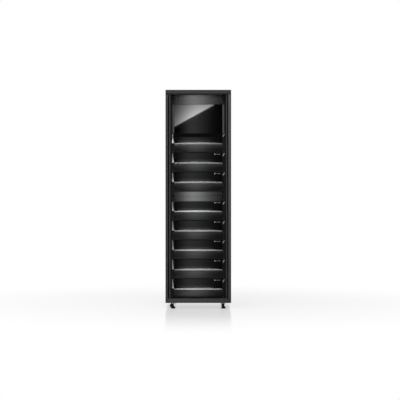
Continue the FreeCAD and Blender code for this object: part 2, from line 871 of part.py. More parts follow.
def door(name, side):
    """A folded door leaf: solid edge stiles, a thin skin and a field of slots."""
    outer = side * (half_width - s.door_edge_gap)
    inner = side * s.door_edge_gap / 2
    x0, x1 = (outer, inner) if side < 0 else (inner, outer)
    body = prism(
        f"rear_door_{name}", "XZ_Plane", door_front, s.door_depth,
        [(x0, door_low), (x1, door_low), (x1, door_high), (x0, door_high)],
    )
    stile = s.door_stile
    hollow = new_sketch(body, "XZ_Plane", door_front)
    rectangle(hollow, x0 + stile, door_low + stile, x1 - stile, door_high - stile)
    pocket(body, hollow, s.door_depth - s.skin)

    slot = new_sketch(body, "XZ_Plane", door_front)
    low = door_low + s.door_slot_inset
    rectangle(slot, x0 + s.door_slot_inset, low, x1 - s.door_slot_inset, low + s.door_slot_height)
    cut = pocket(body, slot, s.door_depth)
    run = door_high - s.door_slot_inset - s.door_slot_height - low
    upright_row(body, cut, slot, s.door_slots, run)

    bore = s.hinge_pin + s.pin_clearance
    for start in (door_low, door_high - s.hinge_depth):
        hole = new_sketch(body, "XY_Plane", start)
        circle(hole, side * hinge_x, hinge_y, bore)
        pocket(body, hole, s.hinge_depth)
    if side > 0:
        hole = new_sketch(body, "XZ_Plane", door_front)
        circle(hole, handle_x, s.handle_height, s.spindle_radius + s.pin_clearance)
        pocket(body, hole, s.door_depth)
    nodes.append(body)


def door_hinges():
    """Pivot brackets on the top and bottom frames, each with its pin in the end of a door."""
    brackets = []
    reach = s.hinge_reach
    pin_length = s.door_end_gap - s.hinge_plate + s.hinge_depth - 1
    for name, side in SIDES:
        outer = side * half_width
        inner = outer - side * reach
        for end, plate, pin in (
            ("low", s.foot_height, s.foot_height + s.hinge_plate),
            ("high", cab_top - s.hinge_plate, cab_top - s.hinge_plate - pin_length),
        ):
            corners = [(outer, rear), (inner, rear), (inner, door_back), (outer, door_back)]
            body = prism(f"hinge_{name}_{end}", "XY_Plane", plate, s.hinge_plate, corners)
            axis = new_sketch(body, "XY_Plane", pin)
            circle(axis, side * hinge_x, hinge_y, s.hinge_pin)
            pad(body, axis, pin_length)
            brackets.append(body)
    nodes.append(group("door_hinges", brackets))


def door_handle():
    """Swing lever on the meeting edge of the right leaf, with its spindle through the stile."""
    half = s.handle_width / 2
    top = s.handle_height
    corners = [(handle_x - half, top), (handle_x - half, top - s.handle_length)]
    corners += [(handle_x + half, top - s.handle_length), (handle_x + half, top)]
    lever_front = door_back + s.handle_lift
    depth = back - lever_front
    body = prism("rear_door_handle", "XZ_Plane", lever_front, depth, corners, {1: -half, 3: -half})
    spindle = new_sketch(body, "XZ_Plane", door_front)
    circle(spindle, handle_x, s.handle_height, s.spindle_radius)
    pad(body, spindle, lever_front - door_front)
    nodes.append(body)


def power_strips():
    """Vertical power strips on the inner sides of the rear posts."""
    strips = []
    rear_face = rear - s.strip_setback - s.post_wall
    cut = s.strip_chamfer
    for name, side in SIDES:
        outer = half_width - s.post_width
        inner = outer - s.strip_width
        near = rear_face - s.strip_depth
        section = [(outer, near), (outer, rear_face), (inner + cut, rear_face)]
        section += [(inner, rear_face - cut), (inner, near + cut), (inner + cut, near)]
        corners = [(side * u, v) for u, v in section]
        strips.append(prism(f"strip_{name}", "XY_Plane", s.strip_bottom, s.strip_height, corners))
    nodes.append(group("power_strips", strips))


def levelling_feet():
    """Screw feet wound down to carry the cabinet, each with its pad, stem and lock nut."""
    foot = new_body("levelling_foot")
    profile = new_sketch(foot, "XZ_Plane")
    stem_top = sill_top - s.frame_wall - s.stem_end
    pad_edge = [(0, 0), (s.pad_radius, 0), (s.pad_radius, s.pad_height), (s.neck_radius, s.neck_height)]
    outline(profile, pad_edge + [(s.stem_radius, s.neck_height), (s.stem_radius, stem_top), (0, stem_top)])
    revolve(foot, profile)

    nut = new_body("lock_nut")
    hexagon = new_sketch(nut, "XY_Plane", s.foot_height - s.nut_height)
    turns = [math.radians(60 * k) for k in range(6)]
    outline(hexagon, [(math.cos(a) * s.nut_radius, math.sin(a) * s.nut_radius) for a in turns])
    circle(hexagon, 0, 0, s.stem_radius + s.fit_clearance)
    pad(nut, hexagon, s.nut_height)

    feet, nuts = [], []
    for end, y in (("front", front + s.foot_inset), ("rear", rear - s.foot_inset)):
        for name, side in SIDES:
            x = side * s.foot_spacing / 2
            feet.append(repeat(foot, f"foot_{end}_{name}", x, y))
            nuts.append(repeat(nut, f"nut_{end}_{name}", x, y))
    nodes.append(group("levelling_feet", feet))
    nodes.append(group("foot_lock_nuts", nuts))


axle_height = s.wheel_lift + s.wheel_radius
wheel_half = s.wheel_width / 2
fork_inner = wheel_half + s.fork_gap
fork_outer = fork_inner + s.fork_sheet
fork_top = s.foot_height - s.castor_clearance


def castor_fork():
    """Swivel head, two side plates and the axle that joins them."""
    fork = new_body("fork")
    head = new_sketch(fork, "XZ_Plane")
    low = axle_height + s.wheel_radius + s.fork_gap
    stem_top = sill_top - s.frame_wall - s.stem_end
    corners = [(0, low), (s.fork_plate, low), (s.fork_plate, fork_top), (s.castor_stem, fork_top)]
    outline(head, corners + [(s.castor_stem, stem_top), (0, stem_top)])
    revolve(fork, head)
    reach = s.axle_radius + s.bush_wall
    for start in (-fork_outer, fork_inner):
        cheek = new_sketch(fork, "YZ_Plane", start)
        tip = s.castor_trail
        corners = [(-s.castor_stem, low), (tip - reach, axle_height)]
        outline(cheek, corners + [(tip + reach, axle_height), (tip + reach, low)], {1: -reach})
        pad(fork, cheek, s.fork_sheet)
        eye = new_sketch(fork, "YZ_Plane", start)
        circle(eye, tip, axle_height, s.axle_radius + s.fit_clearance)
        pocket(fork, eye, s.fork_sheet)

    axle = new_body("axle")
    rod = new_sketch(axle, "YZ_Plane", -fork_outer)
    circle(rod, s.castor_trail, axle_height, s.axle_radius)
    pad(axle, rod, 2 * fork_outer)
    return group("castor_fork", [fork, axle])


def castor_wheel():
    wheel = new_body("castor_wheel")
    section = new_sketch(wheel, "XY_Plane")
    bore = s.axle_radius + s.castor_clearance
    shoulder = s.wheel_radius - s.wheel_round
    corners = [(-wheel_half, bore), (wheel_half, bore), (wheel_half, shoulder)]
    corners += [(wheel_half - s.wheel_round, s.wheel_radius), (s.wheel_round - wheel_half, s.wheel_radius)]
    outline(section, corners + [(-wheel_half, shoulder)])
    revolve(wheel, section, "H_Axis")
    return group("wheel", [repeat(wheel, "wheel_on_axle", 0, s.castor_trail, axle_height)])


CASTOR_TURNS = {("front", "left"): 90, ("front", "right"): 15, ("rear", "left"): 0, ("rear", "right"): 0}


def castors():
    fork, wheel = castor_fork(), castor_wheel()
    for end, y in (("front", front + s.castor_inset), ("rear", rear - s.castor_inset)):
        for name, side in SIDES:
            x = side * s.foot_spacing / 2
            turn = CASTOR_TURNS[end, name]
            nodes.append(repeat(fork, f"castor_fork_{end}_{name}", x, y, turn=turn))
            nodes.append(repeat(wheel, f"castor_wheel_{end}_{name}", x, y, turn=turn))


base_frame()
top_frame()
posts()
rails()
cladding()
front_panels()
guides()
storage_units()
for door_name, door_side in SIDES:
    door(door_name, door_side)
door_hinges()
door_handle()
power_strips()
levelling_feet()
castors()
doc.recompute()

for item in doc.Objects:
    if "Invalid" in item.State or "Error" in item.State:
        raise RuntimeError(f"{item.Label} failed: {item.State}")
    if item.TypeId == "PartDesign::Pocket" and item.Shape.Volume > item.BaseFeature.Shape.Volume - 1:
        raise RuntimeError(f"{item.Label} cuts nothing")
for node in nodes:
    if node.Shape.isNull() or not node.Shape.isValid():
        raise RuntimeError(f"{node.Label} has no sound shape")

os.makedirs("parts", exist_ok=True)
for node in nodes:
    node.Shape.exportStep(f"parts/{node.Label}.step")
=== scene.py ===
import math

import bmesh
import bpy
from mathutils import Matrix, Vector

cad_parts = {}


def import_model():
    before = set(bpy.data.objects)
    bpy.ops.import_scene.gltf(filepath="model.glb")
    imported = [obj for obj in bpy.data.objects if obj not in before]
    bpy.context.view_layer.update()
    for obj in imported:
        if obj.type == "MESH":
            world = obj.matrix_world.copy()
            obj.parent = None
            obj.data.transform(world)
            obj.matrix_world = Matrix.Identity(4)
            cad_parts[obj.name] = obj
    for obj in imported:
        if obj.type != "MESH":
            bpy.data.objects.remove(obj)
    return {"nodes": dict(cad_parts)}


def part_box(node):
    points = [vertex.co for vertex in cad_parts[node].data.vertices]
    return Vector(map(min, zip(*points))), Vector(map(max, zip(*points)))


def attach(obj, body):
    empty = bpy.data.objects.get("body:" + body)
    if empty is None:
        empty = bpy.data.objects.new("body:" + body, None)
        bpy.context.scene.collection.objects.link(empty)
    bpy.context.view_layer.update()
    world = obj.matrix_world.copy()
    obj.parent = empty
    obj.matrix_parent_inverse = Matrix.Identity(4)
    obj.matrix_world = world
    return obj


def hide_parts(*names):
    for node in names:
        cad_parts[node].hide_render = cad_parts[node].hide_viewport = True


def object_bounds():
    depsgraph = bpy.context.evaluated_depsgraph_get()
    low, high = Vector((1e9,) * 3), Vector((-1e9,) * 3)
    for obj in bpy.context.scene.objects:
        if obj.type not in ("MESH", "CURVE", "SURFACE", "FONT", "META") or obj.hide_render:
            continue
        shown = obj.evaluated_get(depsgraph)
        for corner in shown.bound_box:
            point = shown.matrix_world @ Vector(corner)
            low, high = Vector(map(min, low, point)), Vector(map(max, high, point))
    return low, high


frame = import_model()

# Shapes are set out in millimetres, from the boxes of the CAD nodes, and scaled when they are made.

MM = 0.001
SIDES = (("left", -1), ("right", 1))
UNITS = range(1, 9)
BEVEL_STEPS = 2
BEVEL_ANGLE = math.radians(40)
SMOOTH_ANGLE = math.radians(35)
cad_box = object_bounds()
nodes = frame["nodes"]


def span(node):
    """Lowest and highest corner of a CAD node at rest, in millimetres."""
    low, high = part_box(node)
    return low / MM, high / MM


def spread(start, end, count):
    """Evenly spaced values from start to end, both included."""
    return [start + (end - start) * k / (count - 1) for k in range(count)]


def cuts(starts, width):
    """The lines on both sides of a row of cuts of one width."""
    return [start + part for start in starts for part in (0, width)]


def framed(low, high, rim):
    """The lines of a frame with a rim of one width on both sides."""
    return [low, low + rim, high - rim, high]


def linked(name, data):
    """A new object in the scene."""
    made = bpy.data.objects.new(name, data)
    bpy.context.scene.collection.objects.link(made)
    return made


# Mesh forms


def set_out(u, v, along, axis):
    """A point from two coordinates across an axis and one along it."""
    if axis == "x":
        return (along, u, v)
    if axis == "y":
        return (u, along, v)
    return (u, v, along)


class Shape:
    """Closed forms in millimetres, gathered into one mesh, each with its own material."""

    def __init__(self):
        self.bm = bmesh.new()
        self.materials = []

    def add_faces(self, loops, material):
        if material not in self.materials:
            self.materials.append(material)
        slot = self.materials.index(material)
        for loop in loops:
            face = self.bm.faces.new(loop)
            face.material_index = slot
            face.smooth = True

    def skin(self, rings, material, closed=False):
        """Joins a row of rings with as many points each, and caps the row or closes it on itself."""
        rows = [[self.bm.verts.new(point) for point in ring] for ring in rings]
        count = len(rows[0])
        following = rows[1:] + rows[:1] if closed else rows[1:]
        loops = []
        for near, far in zip(rows, following):
            for k in range(count):
                n = (k + 1) % count
                loops.append((near[k], near[n], far[n], far[k]))
        if not closed:
            loops += [rows[0], rows[-1]]
        self.add_faces(loops, material)

    def prism(self, outline, axis, start, end, material):
        ends = [[set_out(u, v, along, axis) for u, v in outline] for along in (start, end)]
        self.skin(ends, material)

    def block(self, low, high, material):
        (x0, y0, z0), (x1, y1, z1) = low, high
        self.prism([(x0, z0), (x1, z0), (x1, z1), (x0, z1)], "y", y0, y1, material)

    def turned(self, profile, centre, axis, material, steps=24, ring=False):
        """Turns (radius, distance along the axis) points about an axis through the centre."""
        x, y, z = centre
        u, v, along = {"x": (y, z, x), "y": (x, z, y), "z": (x, y, z)}[axis]
        rings = []
        for radius, offset in profile:
            turns = [2 * math.pi * k / steps for k in range(steps)]
            points = [(u + radius * math.cos(a), v + radius * math.sin(a)) for a in turns]
            rings.append([set_out(p, q, along + offset, axis) for p, q in points])
        self.skin(rings, material, closed=ring)

    def lattice(self, us, vs, axis, start, end, material):
        """A plate on a grid of lines, cut through wherever an odd column crosses an odd row."""
        columns, rows = len(us) - 1, len(vs) - 1
        corners = {}

        def corner(i, j, along):
            key = (i, j, along)
            if key not in corners:
                corners[key] = self.bm.verts.new(set_out(us[i], vs[j], along, axis))
            return corners[key]

        def solid(i, j):
            return 0 <= i < columns and 0 <= j < rows and not (i % 2 and j % 2)

        loops = []
        for i in range(columns):
            for j in range(rows):
                if not solid(i, j):
                    continue
                square = [(i, j), (i + 1, j), (i + 1, j + 1), (i, j + 1)]
                beyond = [(i, j - 1), (i + 1, j), (i, j + 1), (i - 1, j)]
                loops.append([corner(a, b, start) for a, b in square])
                loops.append([corner(a, b, end) for a, b in reversed(square)])
                for k in range(4):
                    if not solid(*beyond[k]):
                        a, b = square[k], square[(k + 1) % 4]
                        wall = [corner(*b, start), corner(*a, start), corner(*a, end), corner(*b, end)]
                        loops.append(wall)
        self.add_faces(loops, material)

    def mesh(self, name):
        bmesh.ops.recalc_face_normals(self.bm, faces=self.bm.faces)
        bmesh.ops.scale(self.bm, vec=(MM, MM, MM), verts=self.bm.verts)
        made = bpy.data.meshes.new(name)
        self.bm.to_mesh(made)
        self.bm.free()
        for material in self.materials:
            made.materials.append(material)
        return made


def soften(obj, width):
    """Rounds the sharp edges of a piece by a small width in millimetres."""
    bevel = obj.modifiers.new("edges", "BEVEL")
    bevel.width = width * MM
    bevel.segments = BEVEL_STEPS
    bevel.limit_method = "ANGLE"
    bevel.angle_limit = BEVEL_ANGLE
    bevel.harden_normals = True


def piece(name, form, body="cabinet", replaced=(), at=(0, 0, 0), edge=0):
    """A piece from a shape, or from a mesh that several share, its edges rounded if asked."""
    mesh = form.mesh(name) if isinstance(form, Shape) else form
    obj = linked(name, mesh)
    obj.location = Vector(at) * MM
    if edge:
        soften(obj, edge)
    else:
        mesh.set_sharp_from_angle(angle=SMOOTH_ANGLE)
    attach(obj, body)
    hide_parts(*replaced)
    return obj


# Materials

WHITE = (1, 1, 1, 1)
NOISE_RANGE = (0.3, 0.7)
ROUGH_SPREAD = 0.15
GRAIN_DEPTH = 0.2
CHIP_SCALE = 120.0
CHIPPED_EDGE = 1.5
EDGE_LIKENESS = (0.8, 0.99)
EDGE_SAMPLES = 4
FOOT_SHADE_LEVEL = 0.5
QUARTER_TURN = 0.25
SHADE_BAND_LEVEL = 0.003
BRUSHED = {"metal": 1.0, "blotch": 60.0, "stretch": (0.05, 1, 3), "bump": 0.03}


def feed(node, inputs):
    """Sets the inputs of a node, given as values or as sockets to link."""
    for key, value in inputs.items():
        if isinstance(value, bpy.types.NodeSocket):
            node.id_data.links.new(value, node.inputs[key])
        else:
            node.inputs[key].default_value = value


def add(tree, kind, inputs=None, **settings):
    """A shader node with its settings and inputs."""
    node = tree.nodes.new("ShaderNode" + kind)
    for key, value in settings.items():
        setattr(node, key, value)
    feed(node, inputs or {})
    return node


def grey(level, tint=0.0):
    """A linear colour near grey, bluer where the tint is above zero."""
    return (level * (1 - tint), level, level * (1 + tint), 1)


def calc(tree, operation, *values):
    """The result of a math node on numbers and sockets."""
    return add(tree, "Math", dict(enumerate(values)), operation=operation).outputs["Value"]


def remap(tree, value, source, target, **settings):
    """A value carried over from one range to another and held at its ends."""
    limits = {"Value": value, "From Min": source[0], "From Max": source[1]}
    limits.update({"To Min": target[0], "To Max": target[1]})
    return add(tree, "MapRange", limits, **settings).outputs["Result"]


def mix(tree, share, colour, other, **settings):
    inputs = {"Fac": share, "Color1": colour, "Color2": other}
    return add(tree, "MixRGB", inputs, **settings).outputs["Color"]


def ramp(tree, factor, low, high, ends=NOISE_RANGE):
    node = add(tree, "ValToRGB", {"Fac": factor})
    for element, position, colour in zip(node.color_ramp.elements, ends, (low, high)):
        element.position = position
        element.color = colour
    return node.outputs["Color"]


def own_place(tree):
    """Where a point lies in its piece's own axes, in metres."""
    return add(tree, "TexCoord").outputs["Object"]


def own_axes(tree):
    return add(tree, "SeparateXYZ", {0: own_place(tree)}).outputs


def noise(tree, place, scale, detail):
    inputs = {"Vector": place, "Scale": scale, "Detail": detail}
    return add(tree, "TexNoise", inputs).outputs["Fac"]


def shader_of(material):
    return material.node_tree.nodes["Principled BSDF"]


def mix_shaders(tree, share, first, second):
    """The first shader where the share is zero and the second where it is one."""
    inputs = {0: share, 1: first.outputs[0], 2: second.outputs[0]}
    return add(tree, "MixShader", inputs).outputs[0]


def rounded_normal(tree, radius):
    return add(tree, "Bevel", {"Radius": radius * MM}, samples=EDGE_SAMPLES).outputs["Normal"]


def edge_mask(tree, radius):
    """One along the convex edges of a part and zero on its faces."""
    sides = {0: rounded_normal(tree, radius), 1: add(tree, "NewGeometry").outputs["Normal"]}
    likeness = add(tree, "VectorMath", sides, operation="DOT_PRODUCT").outputs["Value"]
    return remap(tree, likeness, EDGE_LIKENESS, (1, 0))


def finish(
    name, level, rough, metal=0.0, tint=0.01, vary=0.18, blotch=18.0, grain=1500.0, bump=0.15,
    stretch=(1, 1, 1), worn=0.0, specular=0.5, brushed=0.0, rounded=0.0, painted_shade_height=0.0,
):
    """A painted, moulded or metal surface: uneven in colour and gloss, with a fine grain. A metal
    brushed from side to side spreads its gloss up and down, rounded softens bare CAD edges, and
    painted shade darkens the colour towards the piece's foot, as if lit from above, from this height
    in metres down."""
    material = bpy.data.materials.new(name)
    material.use_nodes = True
    tree = material.node_tree
    place = own_place(tree)
    drawn = add(tree, "Mapping", {"Vector": place, "Scale": stretch}).outputs["Vector"]
    patches = noise(tree, drawn, blotch, detail=5.0)
    fine = noise(tree, drawn, grain, detail=3.0)

    uneven = calc(tree, "MULTIPLY", calc(tree, "ADD", patches, fine), 0.5)
    colour = ramp(tree, uneven, grey(level * (1 - vary), tint), grey(level * (1 + vary), tint))
    if worn:
        chips = noise(tree, place, CHIP_SCALE, detail=6.0)
        where = calc(tree, "MULTIPLY", edge_mask(tree, CHIPPED_EDGE), chips)
        colour = mix(tree, where, colour, grey(worn))
    # painted shade: the colour darkens towards the foot, standing in for light falling from above
    if painted_shade_height:
        shade = remap(tree, own_axes(tree)["Z"], (0, painted_shade_height), (FOOT_SHADE_LEVEL, 1))
        colour = mix(tree, 1.0, colour, shade, blend_type="MULTIPLY")

    looks = {"Base Color": colour, "Metallic": metal, "Specular IOR Level": specular}
    gloss_range = (rough * (1 - ROUGH_SPREAD), rough * (1 + ROUGH_SPREAD))
    looks["Roughness"] = remap(tree, uneven, NOISE_RANGE, gloss_range)
    relief = {"Height": fine, "Strength": bump, "Distance": GRAIN_DEPTH * MM}
    if rounded:
        relief["Normal"] = rounded_normal(tree, rounded)
    looks["Normal"] = add(tree, "Bump", relief).outputs["Normal"]
    if brushed:
        upright = add(tree, "Tangent", direction_type="RADIAL", axis="Z").outputs["Tangent"]
        looks.update({"Tangent": upright, "Anisotropic": brushed})
        looks["Anisotropic Rotation"] = QUARTER_TURN
    feed(shader_of(material), looks)
    return material


def spangled_zinc(name, level):
    """Galvanised sheet: flat crystals of differing brightness."""
    material = finish(name, level, 0.38, metal=1.0, vary=0.06, bump=0.05)
    tree = material.node_tree
    crystals = add(tree, "TexVoronoi", {"Vector": own_place(tree), "Scale": 90.0}).outputs["Color"]
    shade = add(tree, "RGBToBW", {"Color": crystals}).outputs["Val"]
    dull, bright = grey(level * 0.75, 0.01), grey(level * 1.2, 0.01)
    colour = ramp(tree, shade, dull, bright, ends=(0.1, 0.9))
    feed(shader_of(material), {"Base Color": colour})
    return material


def circuit_board(name):
    """Solder mask with a net of fine tracks."""
    material = finish(name, 0.05, 0.4, vary=0.1)
    tree = material.node_tree
    inputs = {"Vector": own_place(tree), "Scale": 160.0, "Mortar Size": 0.03}
    inputs.update({"Color1": (0.01, 0.06, 0.025, 1), "Color2": (0.012, 0.07, 0.03, 1)})
    inputs["Mortar"] = (0.03, 0.13, 0.06, 1)
    tracks = add(tree, "TexBrick", inputs).outputs["Color"]
    feed(shader_of(material), {"Base Color": tracks})
    return material


def lamp_lens(name, level, glow):
    """A milky lens over a small lamp."""
    material = finish(name, level, 0.25, vary=0.1, grain=400.0)
    lamp = {"Emission Color": WHITE, "Emission Strength": glow}
    feed(shader_of(material), lamp)
    return material


def blend_in(material, share, colour):
    """Mixes a second colour into a material's own, by a share from zero to one."""
    shader = shader_of(material)
    own = shader.inputs["Base Color"].links[0].from_socket
    feed(shader, {"Base Color": mix(material.node_tree, share, own, colour)})
    return material


def painted_shade_band(material, axis, start, end):
    """Paints shade on a part: black between two places in millimetres along one of its axes."""
    tree = material.node_tree
    along = own_axes(tree)[axis]
    past = calc(tree, "GREATER_THAN", along, start * MM)
    short = calc(tree, "LESS_THAN", along, end * MM)
    return blend_in(material, calc(tree, "MULTIPLY", past, short), grey(SHADE_BAND_LEVEL))


def painted_bounce_light(material, level, low, high, middle, half):
    """Paints light bounced from a bright ledge at a part's foot into its colour: lighter between two
    heights in metres, towards the ledge, and most of all at the middle of a stretch from side to side."""
    tree = material.node_tree
    axes = own_axes(tree)
    near = remap(tree, axes["Z"], (low, high), (1, 0))
    off = calc(tree, "SUBTRACT", axes["X"], middle)
    square = calc(tree, "MULTIPLY", off, off)
    central = remap(tree, square, (0, half ** 2), (1, 0))
    return blend_in(material, calc(tree, "MULTIPLY", near, central), grey(level))


def frame_finish(name, level=0.04):
    """The satin paint of the frame, which also rounds the look of bare CAD edges."""
    return finish(name, level, 0.42, worn=0.12, rounded=0.8)


frame_paint = frame_finish("frame_paint")
strip_satin = finish("strip_satin", 0.12, 0.4)
cladding_paint = finish("cladding_paint", 0.038, 0.45, worn=0.1)
rail_paint = finish("rail_paint", 0.008, 0.45, worn=0.1, specular=0.3)
panel_metal = finish("panel_metal", 0.27, 0.23, vary=0.12, brushed=0.6, **BRUSHED)
plate_gloss = finish("plate_gloss", 0.0015, 0.04, vary=0.3, bump=0.005, specular=0.4)
# painted light: the shell's colour lightens just above the bright trim, as if lit by it
shell_gloss = painted_bounce_light(
    finish("shell_gloss", 0.0015, 0.11, vary=0.3, bump=0.02, specular=0.36),
    level=0.058, low=0.09, high=0.122, middle=-0.03, half=0.175,
)
# painted shadow: matt black for the strip under the tall plate
plate_shadow_black = finish("plate_shadow_black", 0.0015, 0.6, vary=0.3, specular=0.05)
# painted shade: the fascia's colour darkens towards its foot, as under light from above
fascia_metal = finish("fascia_metal", 0.1, 0.32, vary=0.1, brushed=0.8, painted_shade_height=0.062, **BRUSHED)
silver = finish("silver", 0.46, 0.3, metal=1.0, vary=0.05, stretch=(0.2, 3, 3), bump=0.02)
bright_metal = finish("bright_metal", 0.62, 0.36, metal=1.0, vary=0.08, stretch=(12, 12, 1), bump=0.06)
steel = finish("steel", 0.42, 0.28, metal=1.0, vary=0.12, blotch=200.0)
dark_steel = finish("dark_steel", 0.09, 0.36, metal=0.9, vary=0.15, worn=0.35)
zinc = spangled_zinc("zinc", 0.42)
black_plastic = finish("black_plastic", 0.014, 0.5, vary=0.25, grain=2200.0, bump=0.3)
grey_plastic = finish("grey_plastic", 0.06, 0.5, vary=0.15, grain=2200.0, bump=0.3)
painted_glint_plastic = finish("painted_glint_plastic", 0.3, 0.45, vary=0.1, grain=2200.0, bump=0.2)
socket_plastic = finish("socket_plastic", 0.01, 0.42, vary=0.2)
seal_rubber = finish("seal_rubber", 0.003, 0.8, vary=0.3, grain=700.0, bump=0.4, specular=0.2)
bristle = finish("bristle", 0.016, 0.6, vary=0.4, stretch=(8, 1, 8))
board = circuit_board("circuit_board")
lens = lamp_lens("lamp_lens", 0.3, 0.05)
light_bar = lamp_lens("light_bar", 0.11, 0.012)


# Cabinet: CAD nodes that keep their shape

WELD_REACH = 0.01
POST_EDGE = 0.7
HANDLE_EDGE = 0.8
GROOVE_INSET = 23
GROOVE_WIDTH = 12
POST_SHADE_LIP = 2
TOP_SHADE_BAND = 9


def repaint(node, material, edge=0.0):
    obj = nodes[node]
    obj.data.materials.clear()
    obj.data.materials.append(material)
    if edge:
        weld = obj.modifiers.new("weld", "WELD")
        weld.merge_threshold = WELD_REACH * MM
        soften(obj, edge)


def post_paint(name, side):
    """Frame paint with painted shade: black in the post's groove and in a strip on the groove's left
    side, where shade falls.
    """
    groove = sorted(side * (cad_box[1].x / MM - GROOVE_INSET - part) for part in (0, GROOVE_WIDTH))
    return painted_shade_band(frame_finish(f"post_paint_{name}"), "X", groove[0] - POST_SHADE_LIP, groove[1])


for name, side in SIDES:
    repaint(f"post_front_{name}", post_paint(name, side), POST_EDGE)
    repaint(f"post_rear_{name}", frame_paint, POST_EDGE)
for end in ("front", "rear"):
    for name, _ in SIDES:
        repaint(f"castor_fork_{end}_{name}", rail_paint)
        repaint(f"castor_wheel_{end}_{name}", seal_rubber)
# painted shade: the top frame is a darker copy of the frame paint, black along its lowest band as the
# shadow line beneath it
top_shaded_paint = painted_shade_band(frame_finish("top_shaded_paint", 0.03), "Z", 0, span("top_frame")[0].z + TOP_SHADE_BAND)
repaint("top_frame", top_shaded_paint)
repaint("base_frame", frame_paint)
repaint("roof_panel", cladding_paint)
repaint("floor_panel", cladding_paint)
repaint("guide_rails", zinc)
repaint("door_hinges", dark_steel)
repaint("levelling_feet", seal_rubber)
repaint("foot_lock_nuts", steel)
repaint("rear_door_handle", black_plastic, HANDLE_EDGE)


# Cabinet: rails, front panels and fasteners

RACK_UNIT = 44.45
RAIL_HOLE = 9.5
HOLE_SPACING = 465.1
HOLE_HEIGHTS = (6.35, 22.225, 38.1)
RAIL_SHEET = 2
FRONT_HALF = 220
FRONT_STAND = 18
FRONT_BOW = 8
FRONT_SHEET = 3
EAR_HALF = 241.3
BOW_STEPS = 49
rack_low, rack_high = span("rail_front_left")
rack_units = round((rack_high.z - rack_low.z) / RACK_UNIT)
rail_face = rack_low.y
across = spread(-FRONT_HALF, FRONT_HALF, BOW_STEPS)


def bow(x, rise):
    """How far a front stands out at x, from nothing at its ends to the rise in the middle."""
    return rise * (1 - (x / FRONT_HALF) ** 2)


def rail(shape, side, face, inward):
    inner, outer = 225, 259
    middle = HOLE_SPACING / 2
    us = [inner, middle - RAIL_HOLE / 2, middle + RAIL_HOLE / 2, outer]
    holes = [rack_low.z + RACK_UNIT * k + height for k in range(rack_units) for height in HOLE_HEIGHTS]
    vs = [rack_low.z] + cuts([z - RAIL_HOLE / 2 for z in holes], RAIL_HOLE) + [rack_high.z]
    back = face + inward * RAIL_SHEET
    shape.lattice([side * u for u in us], vs, "y", face, back, rail_paint)
    web = side * (outer - RAIL_SHEET)
    depth = rack_high.y - rack_low.y
    low = (web, back, rack_low.z)
    shape.block(low, (side * outer, face + inward * depth, rack_high.z), rail_paint)


def rails():
    for name, side in SIDES:
        shape = Shape()
        rail(shape, side, rail_face, 1)
        piece(f"front_rail_{name}", shape, replaced=[f"rail_front_{name}"])
    shape = Shape()
    for _, side in SIDES:
        rail(shape, side, span("rails_rear")[1].y, -1)
    piece("rear_rails", shape, replaced=["rails_rear"])


def bowed_wall(shape, outer, wall, low, high, back, material):
    """A bowed sheet of even thickness, with a return at each end that runs to the back."""
    inner = 1 - wall / FRONT_HALF
    rings = []
    for x in [-FRONT_HALF] + across + [FRONT_HALF]:
        end = abs(x) == FRONT_HALF and (not rings or len(rings) > BOW_STEPS)
        front, rear = (back, back) if end else (outer(x), outer(x) + wall)
        ring = [(x, front, low), (x, front, high), (x * inner, rear, high), (x * inner, rear, low)]
        rings.append(ring)
    shape.skin(rings, material)


def bowed_panel(shape, low, high, material):
    """A front panel with flat ears on the rails and a bowed middle, all of one thickness."""
    outer = lambda x: rail_face - FRONT_STAND - bow(x, FRONT_BOW)
    bowed_wall(shape, outer, FRONT_SHEET, low, high, rail_face, material)
    for _, side in SIDES:
        corner = (side * (FRONT_HALF - FRONT_SHEET), rail_face - FRONT_SHEET, low)
        shape.block(corner, (side * EAR_HALF, rail_face, high), rail_paint)


def screw(shape, x, y, z, radius):
    """A pan-head screw on a washer, seen from the front, with a crossed drive."""
    washer, thick, shoulder, crown = radius * 1.35, 0.8, 2, 3.6
    shape.turned([(washer, 0), (washer, -thick)], (x, y, z), "y", dark_steel)
    head = [(radius, -thick), (radius, -shoulder), (radius * 0.85, -3.1), (radius * 0.55, -crown)]
    shape.turned(head, (x, y, z), "y", dark_steel)
    arm, blade, near, far = radius * 0.5, radius * 0.12, 3.5, 3.75
    for wide, high in ((arm, blade), (blade, arm)):
        shape.block((x - wide, y - far, z - high), (x + wide, y - near, z + high), socket_plastic)


def front_panels():
    """The fillers and the tall plate, each with its screws; returns the panels by node."""
    gap, screw_radius = 1.2, 4.5
    made = {}
    for node, material, slot in (
        ("filler_panel_2u", panel_metal, "panel_grey"),
        ("front_plate", plate_gloss, "plate_gloss"),
        ("filler_panels_1u", panel_metal, "panel_grey"),
    ):
        low, high = span(node)
        panel, screws = Shape(), Shape()
        levels = [low.z, high.z]
        if node == "filler_panels_1u":
            levels = cuts([low.z, low.z + RACK_UNIT], RACK_UNIT - gap)
        for bottom, top in zip(levels[::2], levels[1::2]):
            bowed_panel(panel, bottom, top, material)
            inset = min(HOLE_HEIGHTS[1] - gap / 2, (top - bottom) / 2)
            for z in {bottom + inset, top - inset}:
                for _, side in SIDES:
                    screw(screws, side * HOLE_SPACING / 2, rail_face - FRONT_SHEET, z, screw_radius)
        made[node] = piece(f"front_{node}", panel, replaced=[node], edge=0.3)
        piece(f"screws_{node}", screws)
    return made


def plate_sides():
    """Satin side strips that cover the ears of the tall plate."""
    low, high = span("front_plate")
    clear, half, thin, thick, flat, end_gap = 1.5, 237, 6, 9, 5, 1
    face = rail_face - FRONT_SHEET
    shape = Shape()
    for _, side in SIDES:
        inner, outer = side * (FRONT_HALF + clear), side * half
        outline = [(inner, face), (outer, face), (outer, face - thin)]
        outline += [(inner + side * flat, face - thick), (inner, face - thick)]
        shape.prism(outline, "z", low.z + end_gap, high.z - end_gap, strip_satin)
    piece("plate_side_strips", shape, edge=0.6)


